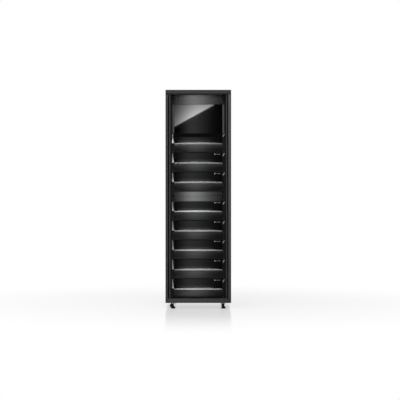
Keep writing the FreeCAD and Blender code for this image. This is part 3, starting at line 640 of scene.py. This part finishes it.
def groove_shade_seals():
    """Black rubber channels pressed into the grooves of the front posts, a dark fill that paints the
    shade deep in the grooves.
    """
    depth, brim_depth, base, side_wall, clear, end_gap = 18, 5.5, 3, 1.2, 0.3, 2
    shape = Shape()
    for name, side in SIDES:
        low, high = span(f"post_front_{name}")
        outer = high.x if side > 0 else low.x
        near = outer - side * (GROOVE_INSET + clear)
        far = outer - side * (GROOVE_INSET + GROOVE_WIDTH - clear)
        floor, brim, wall = low.y + depth, low.y + brim_depth, side * side_wall
        section = [(near, floor), (near, brim), (near - wall, brim), (near - wall, floor - base)]
        section += [(far + wall, floor - base), (far + wall, brim), (far, brim), (far, floor)]
        shape.prism(section, "z", low.z + end_gap, high.z - end_gap, seal_rubber)
    piece("groove_shade_seals", shape)


def blank_backing():
    """A sheet behind the two small blanks that keeps light and air out of the empty bay."""
    low, high = span("filler_panels_1u")
    half, lip = 223, 3
    outline = [(-half, low.z + lip), (lip - half, low.z), (half - lip, low.z), (half, low.z + lip)]
    outline += [(half, high.z), (-half, high.z)]
    shape = Shape()
    shape.prism(outline, "y", rail_face, high.y, rail_paint)
    piece("blank_backing", shape)


def plate_backing():
    """A strip behind the tall plate's foot that closes the seam above the first unit."""
    foot = span("front_plate")[0].z
    half, sheet, drop, rise = 223, 1.5, 1.7, 6
    shape = Shape()
    corner = (-half, rail_face, foot - drop)
    shape.block(corner, (half, rail_face + sheet, foot + rise), rail_paint)
    piece("plate_backing", shape)


rails()
fronts = front_panels()
plate_sides()
plate_backing()
groove_shade_seals()
blank_backing()


# Storage units

BEZEL_STAND = 16
BEZEL_BOW = 5
BEZEL_SHEET = 2.5
BEZEL_EDGE = 0.35
CREST_HEIGHT = 79
CREST_STAND = 37
FASCIA_FOOT = 33
FASCIA_BULGE = 5
FASCIA_BOW = 12
UNIT_GAP = 0.6
BEZEL_FLOOR = 5
SEAM_SHADE_BAND = 3.5
CLIP_HALF = 232
CLIP_LEVELS = (15, 65)
EAR_SEAT = 0.2
EAR_SHEET = 3
chassis_low, chassis_high = span("unit_8_chassis")
unit_top = chassis_high.z - chassis_low.z + UNIT_GAP
bezel_back = span("unit_8_bezel")[1].y
ear_back = rail_face - EAR_SEAT
ear_front = ear_back - EAR_SHEET
unit_rear = chassis_high.y


def unit_floor(number):
    return span(f"unit_{number}_chassis")[0].z - UNIT_GAP


def shell_face(x):
    return bezel_back - BEZEL_STAND - bow(x, BEZEL_BOW)


def fascia_face(x, stand):
    return bezel_back - stand + FASCIA_BOW - bow(x, FASCIA_BOW)


def bezel_shell(shape):
    """The dark bowed shell, its end returns and its clip tabs."""
    bowed_wall(shape, shell_face, BEZEL_SHEET, BEZEL_FLOOR, unit_top, bezel_back, shell_gloss)
    for _, side in SIDES:
        corner = (side * FRONT_HALF, bezel_back - BEZEL_SHEET, CLIP_LEVELS[0])
        shape.block(corner, (side * CLIP_HALF, bezel_back, CLIP_LEVELS[1]), black_plastic)


def bezel_fascia(shape):
    """The bulged grey lower half on a narrow black foot, both closed behind against the shell. The
    black foot is painted shade that widens the dark seam beneath the fascia.
    """
    run = CREST_HEIGHT - BEZEL_FLOOR
    foot = SEAM_SHADE_BAND / run
    # painted shade: the black foot band darkens the seam between units
    for start, end, count, material in ((0, foot, 3, black_plastic), (foot, 1, 13, fascia_metal)):
        low, high = BEZEL_FLOOR + run * start, BEZEL_FLOOR + run * end
        rings = []
        for x in across:
            ring = []
            for t in spread(start, end, count):
                stand = FASCIA_FOOT + (CREST_STAND - FASCIA_FOOT) * t
                stand += FASCIA_BULGE * (1 - (2 * t - 1) ** 2)
                ring.append((x, fascia_face(x, stand), BEZEL_FLOOR + run * t))
            rear = shell_face(x)
            rings.append(ring + [(x, rear, high), (x, rear, low)])
        shape.skin(rings, material)


def bezel_trim(shape):
    """The bright ledge between the crest of the fascia and the shell, deepest in the middle."""
    lip = 1.2
    rings = []
    for x in across:
        crest, shell = fascia_face(x, CREST_STAND), shell_face(x)
        top = CREST_HEIGHT + shell - crest
        ring = [(x, crest, CREST_HEIGHT), (x, crest, CREST_HEIGHT + lip), (x, shell, top)]
        rings.append(ring + [(x, shell, CREST_HEIGHT)])
    shape.skin(rings, silver)


def shell_strip(shape, start, end, low, high, sunk, proud, material, count=9):
    """A strip along the bow of the shell, set into it and a little proud of it."""
    rings = []
    for x in spread(start, end, count):
        front, rear = shell_face(x) - proud, shell_face(x) + sunk
        rings.append([(x, rear, low), (x, front, low), (x, front, high), (x, rear, high)])
    shape.skin(rings, material)


def bezel_lights(shape):
    """A round lens and a short light bar, flush-mounted on the shell."""
    x, z = 152, 165
    face = shell_face(x)
    shape.turned([(7.5, 1), (7.5, -0.8), (6.5, -1.2)], (x, face, z), "y", black_plastic)
    shape.turned([(6, -0.6), (6, -1.4), (4.8, -2.4), (2.6, -2.8)], (x, face, z), "y", lens)
    start, end, rim, bar = 166, 204, 4.4, 3.2
    shell_strip(shape, start, end, z - rim, z + rim, sunk=0.5, proud=0.7, material=black_plastic)
    shell_strip(shape, start, end, z - bar, z + bar, sunk=0, proud=1.3, material=light_bar)


def plate_shadow_strip(shape):
    """A matt black strip along the top of a shell that has no lights: painted shadow where the tall
    plate above shades the first unit.
    """
    tall, proud, sunk, inset = 33, 0.4, 0.5, 0.6
    half, low, high = FRONT_HALF - inset, unit_top - tall, unit_top - inset
    shell_strip(shape, -half, half, low, high, sunk, proud, plate_shadow_black, BOW_STEPS)


def bezel_mesh(name, add_top):
    shape = Shape()
    for add_part in (bezel_shell, bezel_fascia, bezel_trim, add_top):
        add_part(shape)
    return shape.mesh(name)


def left_lever(shape):
    """A curved lever that leaves the ear at its top and stands furthest out near its foot."""
    outer = -241
    top, foot = unit_top - 3, CREST_HEIGHT + 3
    thick, sweep, slim, flare, toe, tuck = 3, 16, 10, 7, 8, 9
    chamfer, shoulder, fall = 1.5, 4, 2.5
    rings = []
    for t in spread(0, 1, 15):
        z = top + (foot + toe - top) * t
        out = ear_front - thick - sweep * t * t
        inner = outer + slim + flare * t
        ring = [(outer, ear_front, z), (outer, out + chamfer, z), (outer + chamfer, out, z)]
        ring += [(inner - shoulder, out, z), (inner, out + fall, z), (inner, ear_front, z)]
        rings.append(ring)
    rings.append([(x, min(y + tuck, ear_front), foot) for x, y, z in rings[-1]])
    shape.skin(rings, bright_metal)


def right_lever(shape):
    """A slim latch along the inner edge of the ear, with a slanted thumb piece at its top, pale as a
    painted glint.
    """
    inner, outer, wide = 223, 241, 5
    low, turn, top = 70, unit_top - 21, unit_top - 3
    near, far, thumb_stand, thumb_high = ear_front - 6, ear_front - 8, 15, 9
    section = [(inner, ear_front), (inner + wide, ear_front), (inner + wide, near), (inner, far)]
    shape.prism(section, "z", low, turn, dark_steel)
    thumb = [(inner, turn - thumb_high), (inner + wide, turn - thumb_high), (outer, top - thumb_high)]
    thumb += [(outer, top), (outer - wide, top), (inner, turn)]
    # painted highlight: the pale thumb piece stands in for a glint at the top of the latch
    shape.prism(thumb, "y", ear_front - thumb_stand, ear_front, painted_glint_plastic)


def chassis_mesh():
    """Tray with its front lip, vented cover, ears, lever and latch of one unit."""
    shape = Shape()
    half, sheet = 223, 1.5
    low, high = 2.2, 176.2
    section = [(-half, low), (half, low), (half, high - sheet), (half - sheet, high - sheet)]
    section += [(half - sheet, low + sheet), (sheet - half, low + sheet)]
    section += [(sheet - half, high - sheet), (-half, high - sheet)]
    shape.prism(section, "y", ear_back, unit_rear, zinc)

    rim = 12
    us = [sheet - half, rim - half, half - rim, half - sheet]
    vs = [low + sheet, low + rim, high - sheet - rim, high - sheet]
    shape.lattice(us, vs, "y", unit_rear - sheet, unit_rear, zinc)

    slot_wide, slot_long = 6, 22
    us = [-half] + cuts(spread(-174, 168, 29), slot_wide) + [half]
    vs = [ear_back] + cuts(spread(60, 200, 6), slot_long) + [unit_rear]
    shape.lattice(us, vs, "z", high - sheet, high, zinc)

    shape.block((sheet - half, ear_front, UNIT_GAP), (half - sheet, ear_back, low + sheet), rail_paint)
    screw_heights, screw_radius = (12, 66), 3.2
    for _, side in SIDES:
        corner = (side * (half - sheet), ear_front, UNIT_GAP)
        shape.block(corner, (side * EAR_HALF, ear_back, unit_top), rail_paint)
        for z in screw_heights:
            screw(shape, side * HOLE_SPACING / 2, ear_front, z, screw_radius)
    left_lever(shape)
    right_lever(shape)
    return shape.mesh("chassis")


CARRIER_COLUMNS = 4
CARRIER_ROWS = 6
CARRIER_DEPTH = 158
MODULE_SETBACK = 1.5
modules_low, modules_high = span("unit_8_modules")
modules_rear = unit_rear - MODULE_SETBACK


def carrier(shape, x, z, wide, tall):
    """A drive carrier: body, vented front, slanted latch lever and two light pipes."""
    gap, margin, slot_wide, plate, inset, setback = 0.4, 5, 3.5, 2.6, 1, 3
    front = ear_back
    x0, x1 = x + gap, x + wide - gap
    z0, z1 = z + gap, z + tall - gap
    corner = (x0 + inset, front + setback, z0 + inset)
    shape.block(corner, (x1 - inset, front + CARRIER_DEPTH, z1 - inset), zinc)
    us = [x0] + cuts(spread(x0 + 8, x0 + 62, 10), slot_wide) + [x1]
    vs = [z0, z0 + margin, z0 + 12, z0 + 14.5, z1 - margin, z1]
    shape.lattice(us, vs, "y", front, front + plate, black_plastic)
    lever = [(x1 - 36, front), (x1 - 3, front), (x1 - 3, front - 5)]
    lever += [(x1 - 8, front - 6), (x1 - 34, front - 2)]
    shape.prism(lever, "z", z0 + margin, z1 - margin, grey_plastic)
    for foot in (z0 + 7, z0 + 15):
        shape.block((x0 + 2.5, front - 0.8, foot), (x0 + 4.5, front + 1, foot + 2), lens)


def fan_guard(shape, x, y, z, radius):
    """Round guard of three rings on a cross of bars."""
    wire, bar = 1.6, 0.9
    for k in (1, 2, 3):
        r = radius * k / 3
        section = [(r, 0), (r, wire), (r - wire, wire), (r - wire, 0)]
        shape.turned(section, (x, y, z), "y", steel, ring=True)
    for wide, high in ((radius, bar), (bar, radius)):
        shape.block((x - wide, y + 0.2, z - high), (x + wide, y + 1.4, z + high), steel)


def power_module(shape, side, low, high):
    """Rear face of a power module: frame, fan opening, inlet and bail handle."""
    face, body, plate = modules_rear, 240, 4
    x0, x1 = sorted((side * 120, side * 210))
    middle = (x0 + x1) / 2
    shape.block((x0, face - body, low), (x1, face - plate, high), zinc)
    fan_z, fan_half = high - 42, 31
    us = [x0, middle - fan_half, middle + fan_half, x1]
    vs = [low, fan_z - fan_half, fan_z + fan_half, high]
    shape.lattice(us, vs, "y", face - plate, face, dark_steel)
    fan_guard(shape, middle, face, fan_z, fan_half)

    inlet_z, inlet_half, inlet_high, cut, proud = low + 34, 14, 10, 5, 2.5
    left, right = middle - inlet_half, middle + inlet_half
    foot, head = inlet_z - inlet_high, inlet_z + inlet_high
    rim = [(left, foot), (right, foot), (right, head - cut), (right - cut, head)]
    rim += [(left + cut, head), (left, head - cut)]
    shape.prism(rim, "y", face, face + proud, socket_plastic)
    pin_pitch, pin_half, pin_rise, pin_proud = 7, 1, 3, 2.9
    for x in (middle - pin_pitch, middle, middle + pin_pitch):
        corner = (x - pin_half, face + proud, inlet_z - pin_rise)
        shape.block(corner, (x + pin_half, face + pin_proud, inlet_z + pin_rise), steel)

    grip, bar, stand, inset = low + 58, 6, 20, 10
    for x in (x0 + inset, x1 - inset - bar):
        shape.block((x, face, grip), (x + bar, face + stand, grip + bar), steel)
    corner = (x0 + inset, face + stand - bar, grip)
    shape.block(corner, (x1 - inset, face + stand, grip + bar), steel)


def controller(shape, low, high):
    """One of the two stacked controllers: a face with ports and vents, a board and two levers."""
    face, half, wide, tall = modules_rear, 117, 18, 14
    middle = (low + high) / 2
    foot, head = middle - tall / 2, middle + tall / 2
    board_end, board_start, board_thick = 300, 12, 1.6
    shape.block((-half, face - board_end, low), (half, face - board_start, low + board_thick), board)
    ports, vents = spread(-86, 30, 6), spread(60, 90, 6)
    plate, vent_wide, back, floor, tongue, inset = 2, 3, 11, 8, 4, 2
    us = [-half] + cuts(ports, wide) + cuts(vents, vent_wide) + [half]
    shape.lattice(us, [low, foot, head, high], "y", face - plate, face, dark_steel)
    for x in ports:
        shape.block((x, face - back, foot), (x + wide, face - floor, head), socket_plastic)
        corner = (x + inset, face - floor, foot + inset)
        shape.block(corner, (x + wide - inset, face - tongue, middle - inset), steel)
    for _, side in SIDES:
        lever = [(side * 112, face), (side * 104, face), (side * 92, face + 8), (side * 94, face + 11)]
        lever += [(side * 104, face + 6), (side * 112, face + 4)]
        shape.prism(lever, "z", middle - 26, middle - 14, grey_plastic)


def modules_mesh():
    shape = Shape()
    low, high = modules_low.z - chassis_low.z + UNIT_GAP, modules_high.z - chassis_low.z + UNIT_GAP
    wide = (modules_high.x - modules_low.x) / CARRIER_COLUMNS
    tall = (high - low) / CARRIER_ROWS
    for column in range(CARRIER_COLUMNS):
        for row in range(CARRIER_ROWS):
            carrier(shape, modules_low.x + wide * column, low + tall * row, wide, tall)
    head_gap, floor_gap, split_gap = 10.5, 0.4, 0.5
    top = high - head_gap
    for _, side in SIDES:
        power_module(shape, side, low + floor_gap, top)
    split = (low + top) / 2
    controller(shape, low + floor_gap, split - split_gap)
    controller(shape, split + split_gap, top)
    return shape.mesh("modules")


def storage_units():
    plain = bezel_mesh("bezel_plain", plate_shadow_strip)
    lit = bezel_mesh("bezel_with_lights", bezel_lights)
    chassis, modules = chassis_mesh(), modules_mesh()
    for number in UNITS:
        unit, bezel = f"unit_{number}", f"bezel_{number}"
        at = (0, 0, unit_floor(number))
        cover = plain if number == 1 else lit
        piece(f"{bezel}_cover", cover, bezel, [f"{unit}_bezel"], at, edge=BEZEL_EDGE)
        piece(f"{unit}_body", chassis, unit, [f"{unit}_chassis"], at)
        piece(f"{unit}_plug_ins", modules, unit, [f"{unit}_modules"], at)


storage_units()


# Rear doors, side panels, roof brush and power strips

SHEET = 1.5
COVER_GAP = 0.5
DOOR_STILE = 40
DOOR_WINDOWS = 30
WINDOW_HEIGHT = 34
WINDOW_INSET = 60
BRISTLES = 121


def rear_door(name):
    """A door leaf with a folded rim and a thin skin, pierced in bands of small square holes."""
    node = f"rear_door_{name}"
    low, high = span(node)
    shape = Shape()
    us, vs = framed(low.x, high.x, DOOR_STILE), framed(low.z, high.z, DOOR_STILE)
    shape.lattice(us, vs, "y", low.y, high.y - SHEET, frame_paint)

    hole, pitch = 6, 8.5
    holes_across, holes_up = 21, 4
    first = low.x + WINDOW_INSET
    us = [low.x] + cuts([first + pitch * k for k in range(holes_across)], hole) + [high.x]
    vs = [low.z]
    run = high.z - low.z - 2 * WINDOW_INSET - WINDOW_HEIGHT
    for k in range(DOOR_WINDOWS):
        bottom = low.z + WINDOW_INSET + run * k / (DOOR_WINDOWS - 1)
        vs += cuts([bottom + pitch * n for n in range(holes_up)], hole)
    vs.append(high.z)
    shape.lattice(us, vs, "y", high.y - SHEET, high.y, frame_paint)
    piece(f"perforated_door_{name}", shape, node, [node])


def handle_plate():
    """A rounded plate on the door behind the swing lever."""
    low, high = span("rear_door_handle")
    door_back = span("rear_door_right")[1].y
    margin, thick = 3, 0.4
    x = (low.x + high.x) / 2
    radius = (high.x - low.x) / 2 + margin
    outline = []
    for middle, start in ((high.z - radius, 0), (low.z + radius, math.pi)):
        for turn in spread(start, start + math.pi, 13):
            outline.append((x + radius * math.cos(turn), middle + radius * math.sin(turn)))
    shape = Shape()
    shape.prism(outline, "y", door_back, door_back + thick, dark_steel)
    piece("handle_plate", shape, "rear_door_right")


def side_cover(shape, side, outer, inner, low, high):
    """A folded half-height cover with two recessed slide latches near its top."""
    skin = outer - side * SHEET
    latch_half, latch_rise, latch_drop, latch_inset = 30, 13, 80, 180
    latch_z = high.z - latch_drop - latch_rise
    latches = [low.y + latch_inset + latch_half, high.y - latch_inset - latch_half]
    us = [low.y] + cuts([y - latch_half for y in latches], 2 * latch_half) + [high.y]
    vs = [low.z, latch_z - latch_rise, latch_z + latch_rise, high.z]
    shape.lattice(us, vs, "x", skin, outer, cladding_paint)
    us, vs = framed(low.y, high.y, SHEET), framed(low.z, high.z, SHEET)
    shape.lattice(us, vs, "x", inner, skin, cladding_paint)

    cup_depth, cup_wall, cup_base, slider_half = 8, 2, 1.5, 22
    cup_half, cup_rise = latch_half + cup_wall, latch_rise + cup_wall
    floor = outer - side * cup_depth
    for y in latches:
        us = framed(y - cup_half, y + cup_half, cup_wall)
        vs = framed(latch_z - cup_rise, latch_z + cup_rise, cup_wall)
        shape.lattice(us, vs, "x", floor, skin, black_plastic)
        back = (floor - side * cup_base, us[0], vs[0])
        shape.block(back, (floor, us[-1], vs[-1]), black_plastic)
        slider = [(outer - side * 1, latch_z + 9), (floor, latch_z + 9), (floor, latch_z - 4)]
        slider.append((outer - side * 3.5, latch_z - 1))
        shape.prism(slider, "y", y - slider_half, y + slider_half, grey_plastic)


def side_panel(name, side):
    """Two covers, one above the other, and the strip behind the seam between them."""
    node = f"side_panel_{name}"
    low, high = span(node)
    outer, inner = (low.x, high.x) if side < 0 else (high.x, low.x)
    seam, gap, setback = (low.z + high.z) / 2, 3, 6
    shape = Shape()
    for bottom, top in ((low.z, seam - gap / 2), (seam + gap / 2, high.z)):
        near = Vector((low.x, low.y + COVER_GAP, bottom))
        side_cover(shape, side, outer, inner, near, Vector((high.x, high.y - COVER_GAP, top)))
    corner = (inner, low.y, seam - gap / 2)
    shape.block(corner, (outer - side * setback, high.y, seam + gap / 2), black_plastic)
    piece(f"side_cladding_{name}", shape, replaced=[node])


def roof_brush():
    """Two rows of bristles in edge channels, which close the cable slot in the roof."""
    top = span("roof_panel")[1].z
    half, near, far = 150, 306, 386
    outside, inside, tall = 6, 5, 4
    bristle_half, low, high, end_gap = 0.9, top + 1, top + 2.8, 2
    tip = (near + far) / 2
    shape = Shape()
    for start, inward in ((near, 1), (far, -1)):
        section = [(start - inward * outside, top), (start + inward * inside, top)]
        section += [(start + inward * inside, top + tall), (start - inward * outside, top + tall)]
        shape.prism(section, "x", -half, half, steel)
        for k, x in enumerate(spread(end_gap - half, half - end_gap, BRISTLES)):
            # Bristles lean aside and rise unevenly.
            lean = 1.6 * math.sin(k * 2.4)
            rise = 0.5 * math.sin(k * 1.7)
            root = [(x - bristle_half, start, low), (x + bristle_half, start, low), (x, start, high)]
            end = [(u + lean, tip - inward * 0.5, w + rise) for u, _, w in root]
            shape.skin([root, end], bristle)
    piece("roof_brush", shape)


def power_strip(shape, side):
    """A vertical strip with a row of recessed outlets on its rear face."""
    low, high = span("power_strips")
    strip_wide, cut, proud = 50, 5, 2
    outer, inner, face = side * high.x, side * (high.x - strip_wide), high.y - proud
    section = [(outer, low.y), (outer, face), (inner + side * cut, face)]
    section += [(inner, face - cut), (inner, low.y + cut), (inner + side * cut, low.y)]
    shape.prism(section, "z", low.z, high.z, black_plastic)
    middle = (outer + inner) / 2
    half, rise, rim, end_gap, outlets = 16, 13, 3, 70, 24
    contacts, pin_half, pin_rise, pin_proud = ((-6, -2), (6, -2), (0, 4)), 1, 3, 0.4
    for z in spread(low.z + end_gap, high.z - end_gap, outlets):
        us, vs = framed(middle - half, middle + half, rim), framed(z - rise, z + rise, rim)
        shape.lattice(us, vs, "y", face, high.y, grey_plastic)
        for dx, dz in contacts:
            corner = (middle + dx - pin_half, face, z + dz - pin_rise)
            shape.block(corner, (middle + dx + pin_half, face + pin_proud, z + dz + pin_rise), steel)


for name, side in SIDES:
    rear_door(name)
    side_panel(name, side)
handle_plate()
roof_brush()
strips = Shape()
for _, side in SIDES:
    power_strip(strips, side)
piece("outlet_strips", strips, replaced=["power_strips"])


# Stage, light and camera, in metres

FRAME_PIXELS = 400
TOP_PIXEL = 89.8
FLOOR_PIXEL = 308.7
MIDDLE_PIXEL = 198.3
HORIZON_PIXEL = 186.0
LENS = 135
SENSOR = 36
AMBIENT = 0.2
FLOOR_HALF = 40
FLOOR_GLOW = 0.55
FLOOR_FADE = (0.8, 3.0)
CARD_DISTANCE = 1.4
CARD_HALF = 1.0
CARD_TOP = 2.6
CARD_FOOT = 0.01
CARD_GAP = 0.03
SLANTED_STEP = 0.02
height = cad_box[1].z - cad_box[0].z
front = cad_box[0].y
metres_per_pixel = height / (FLOOR_PIXEL - TOP_PIXEL)
eye = (FLOOR_PIXEL - HORIZON_PIXEL) * metres_per_pixel
distance = FRAME_PIXELS * metres_per_pixel * LENS / SENSOR


def camera():
    data = bpy.data.cameras.new("camera")
    data.lens = LENS
    data.sensor_width = SENSOR
    data.shift_x = (FRAME_PIXELS / 2 - MIDDLE_PIXEL) / FRAME_PIXELS
    data.shift_y = (HORIZON_PIXEL - FRAME_PIXELS / 2) / FRAME_PIXELS
    made = linked("camera", data)
    made.location = (0, front - distance, eye)
    made.rotation_euler = (math.radians(90), 0, 0)
    bpy.context.scene.camera = made


def softbox(name, at, aim, wide, tall, radiance, in_gloss=True):
    """A rectangular lamp of a given brightness, turned to face a point."""
    data = bpy.data.lights.new(name, "AREA")
    data.shape = "RECTANGLE"
    data.size = wide
    data.size_y = tall
    data.energy = radiance * math.pi * wide * tall
    made = linked(name, data)
    made.location = at
    made.rotation_euler = (Vector(aim) - Vector(at)).to_track_quat("-Z", "Y").to_euler()
    made.visible_camera = False
    made.visible_glossy = in_gloss


def sees_background(tree):
    """One for the rays that show the background: camera, glossy and transmission rays."""
    path = add(tree, "LightPath").outputs
    either = calc(tree, "MAXIMUM", path["Is Camera Ray"], path["Is Glossy Ray"])
    return calc(tree, "MAXIMUM", either, path["Is Transmission Ray"])


def world():
    made = bpy.data.worlds.new("studio")
    bpy.context.scene.world = made
    made.use_nodes = True
    tree = made.node_tree
    tree.nodes.clear()
    shown = add(tree, "Background", {"Color": WHITE, "Strength": 1.0})
    ambient = add(tree, "Background", {"Color": WHITE, "Strength": AMBIENT})
    add(tree, "OutputWorld", {"Surface": mix_shaders(tree, sees_background(tree), ambient, shown)})


def stage_plane(name, corners, material):
    mesh = bpy.data.meshes.new(name)
    mesh.from_pydata(corners, [], [(0, 1, 2, 3)])
    mesh.materials.append(material)
    made = linked(name, mesh)
    return made


def floor():
    """A pale, slightly glossy floor, lit from below like a light table, and white far away."""
    material = finish("floor", 0.8, 0.14, vary=0.02, blotch=2.0, grain=300.0, bump=0.01, specular=0.4)
    tree = material.node_tree
    reach = add(tree, "VectorMath", {0: own_place(tree)}, operation="LENGTH").outputs["Value"]
    away = remap(tree, reach, FLOOR_FADE, (FLOOR_GLOW, 1), interpolation_type="SMOOTHSTEP")
    factor = calc(tree, "MULTIPLY", away, sees_background(tree))
    white = add(tree, "Emission", {"Color": WHITE, "Strength": 1.0})
    mixed = mix_shaders(tree, factor, shader_of(material), white)
    feed(tree.nodes["Material Output"], {"Surface": mixed})
    low, high = -FLOOR_HALF, FLOOR_HALF
    stage_plane("floor", [(low, low, 0), (high, low, 0), (high, high, 0), (low, high, 0)], material)


def card_material(name, peak, middle, left, right, growth=0.0, level=0.0):
    """A card, dark but for one band of light that fades over a width on each side, and clear from
    behind. With a growth per metre the band is brighter below the level and dimmer above it."""
    material = bpy.data.materials.new(name)
    material.use_nodes = True
    tree = material.node_tree
    tree.nodes.clear()
    axes = own_axes(tree)
    off = calc(tree, "SUBTRACT", axes["X"], middle)
    width = remap(tree, calc(tree, "GREATER_THAN", off, 0.0), (0, 1), (left, right))
    square = calc(tree, "POWER", calc(tree, "DIVIDE", off, width), 2.0)
    grown = calc(tree, "MULTIPLY", calc(tree, "SUBTRACT", level, axes["Z"]), growth)
    bell = calc(tree, "EXPONENT", calc(tree, "MULTIPLY_ADD", square, -0.5, grown))
    glow = add(tree, "Emission", {"Color": WHITE, "Strength": calc(tree, "MULTIPLY", bell, peak)})
    clear = add(tree, "BsdfTransparent")
    behind = add(tree, "NewGeometry").outputs["Backfacing"]
    add(tree, "OutputMaterial", {"Surface": mix_shaders(tree, behind, glow, clear)})
    return material


def card(name, corners, material):
    """A card that shows in gloss alone: it neither lights nor hides anything."""
    made = stage_plane(name, corners, material)
    made.visible_camera = False
    made.visible_diffuse = False
    made.visible_shadow = False
    return made


def light_cards():
    """A card in front of the cabinet, and one on the floor that carries its band on to the feet."""
    material = card_material("light_card", peak=0.85, middle=-0.13, left=0.1, right=0.2)
    far, near, low = front - CARD_DISTANCE, front - CARD_GAP, CARD_FOOT
    left, right = -CARD_HALF, CARD_HALF
    upright = [(left, far, CARD_TOP), (right, far, CARD_TOP), (right, far, low), (left, far, low)]
    card("light_card", upright, material)
    flat = [(left, far, low), (right, far, low), (right, near, low), (left, near, low)]
    card("floor_card", flat, material)


def slanted_card():
    """A bright card cut on a slant, whose edge the tall plate mirrors as a diagonal."""
    y = front - CARD_DISTANCE + SLANTED_STEP
    left, right, top, low_left = -0.48, 0.318, 1.947, 1.714
    # The card is a triangle, so one of its four corners lies along the top edge.
    along_top = -0.18
    corners = [(left, y, top), (along_top, y, top), (right, y, top), (left, y, low_left)]
    material = card_material(
        "slanted_card", peak=9.8, middle=0.05, left=0.25, right=0.3, growth=6.2, level=1.936
    )
    made = card("slanted_card", corners, material)
    receivers = bpy.data.collections.new("slanted_card_receivers")
    receivers.objects.link(fronts["front_plate"])
    made.light_linking.receiver_collection = receivers


camera()
world()
floor()
light_cards()
slanted_card()
softbox("overhead", (0, -1.4, 4.6), aim=(0, -1.0, 0), wide=2.2, tall=6.0, radiance=2.2, in_gloss=False)
softbox("strip", (-0.17, -2.8, 4.5), aim=(-0.17, -2.6, 0), wide=0.6, tall=9.0, radiance=4.6)
softbox("key_left", (-5.0, -3.6, 2.4), aim=(0, -0.4, 1.0), wide=1.6, tall=2.6, radiance=10.0)

bpy.context.scene.view_settings.view_transform = "Standard"
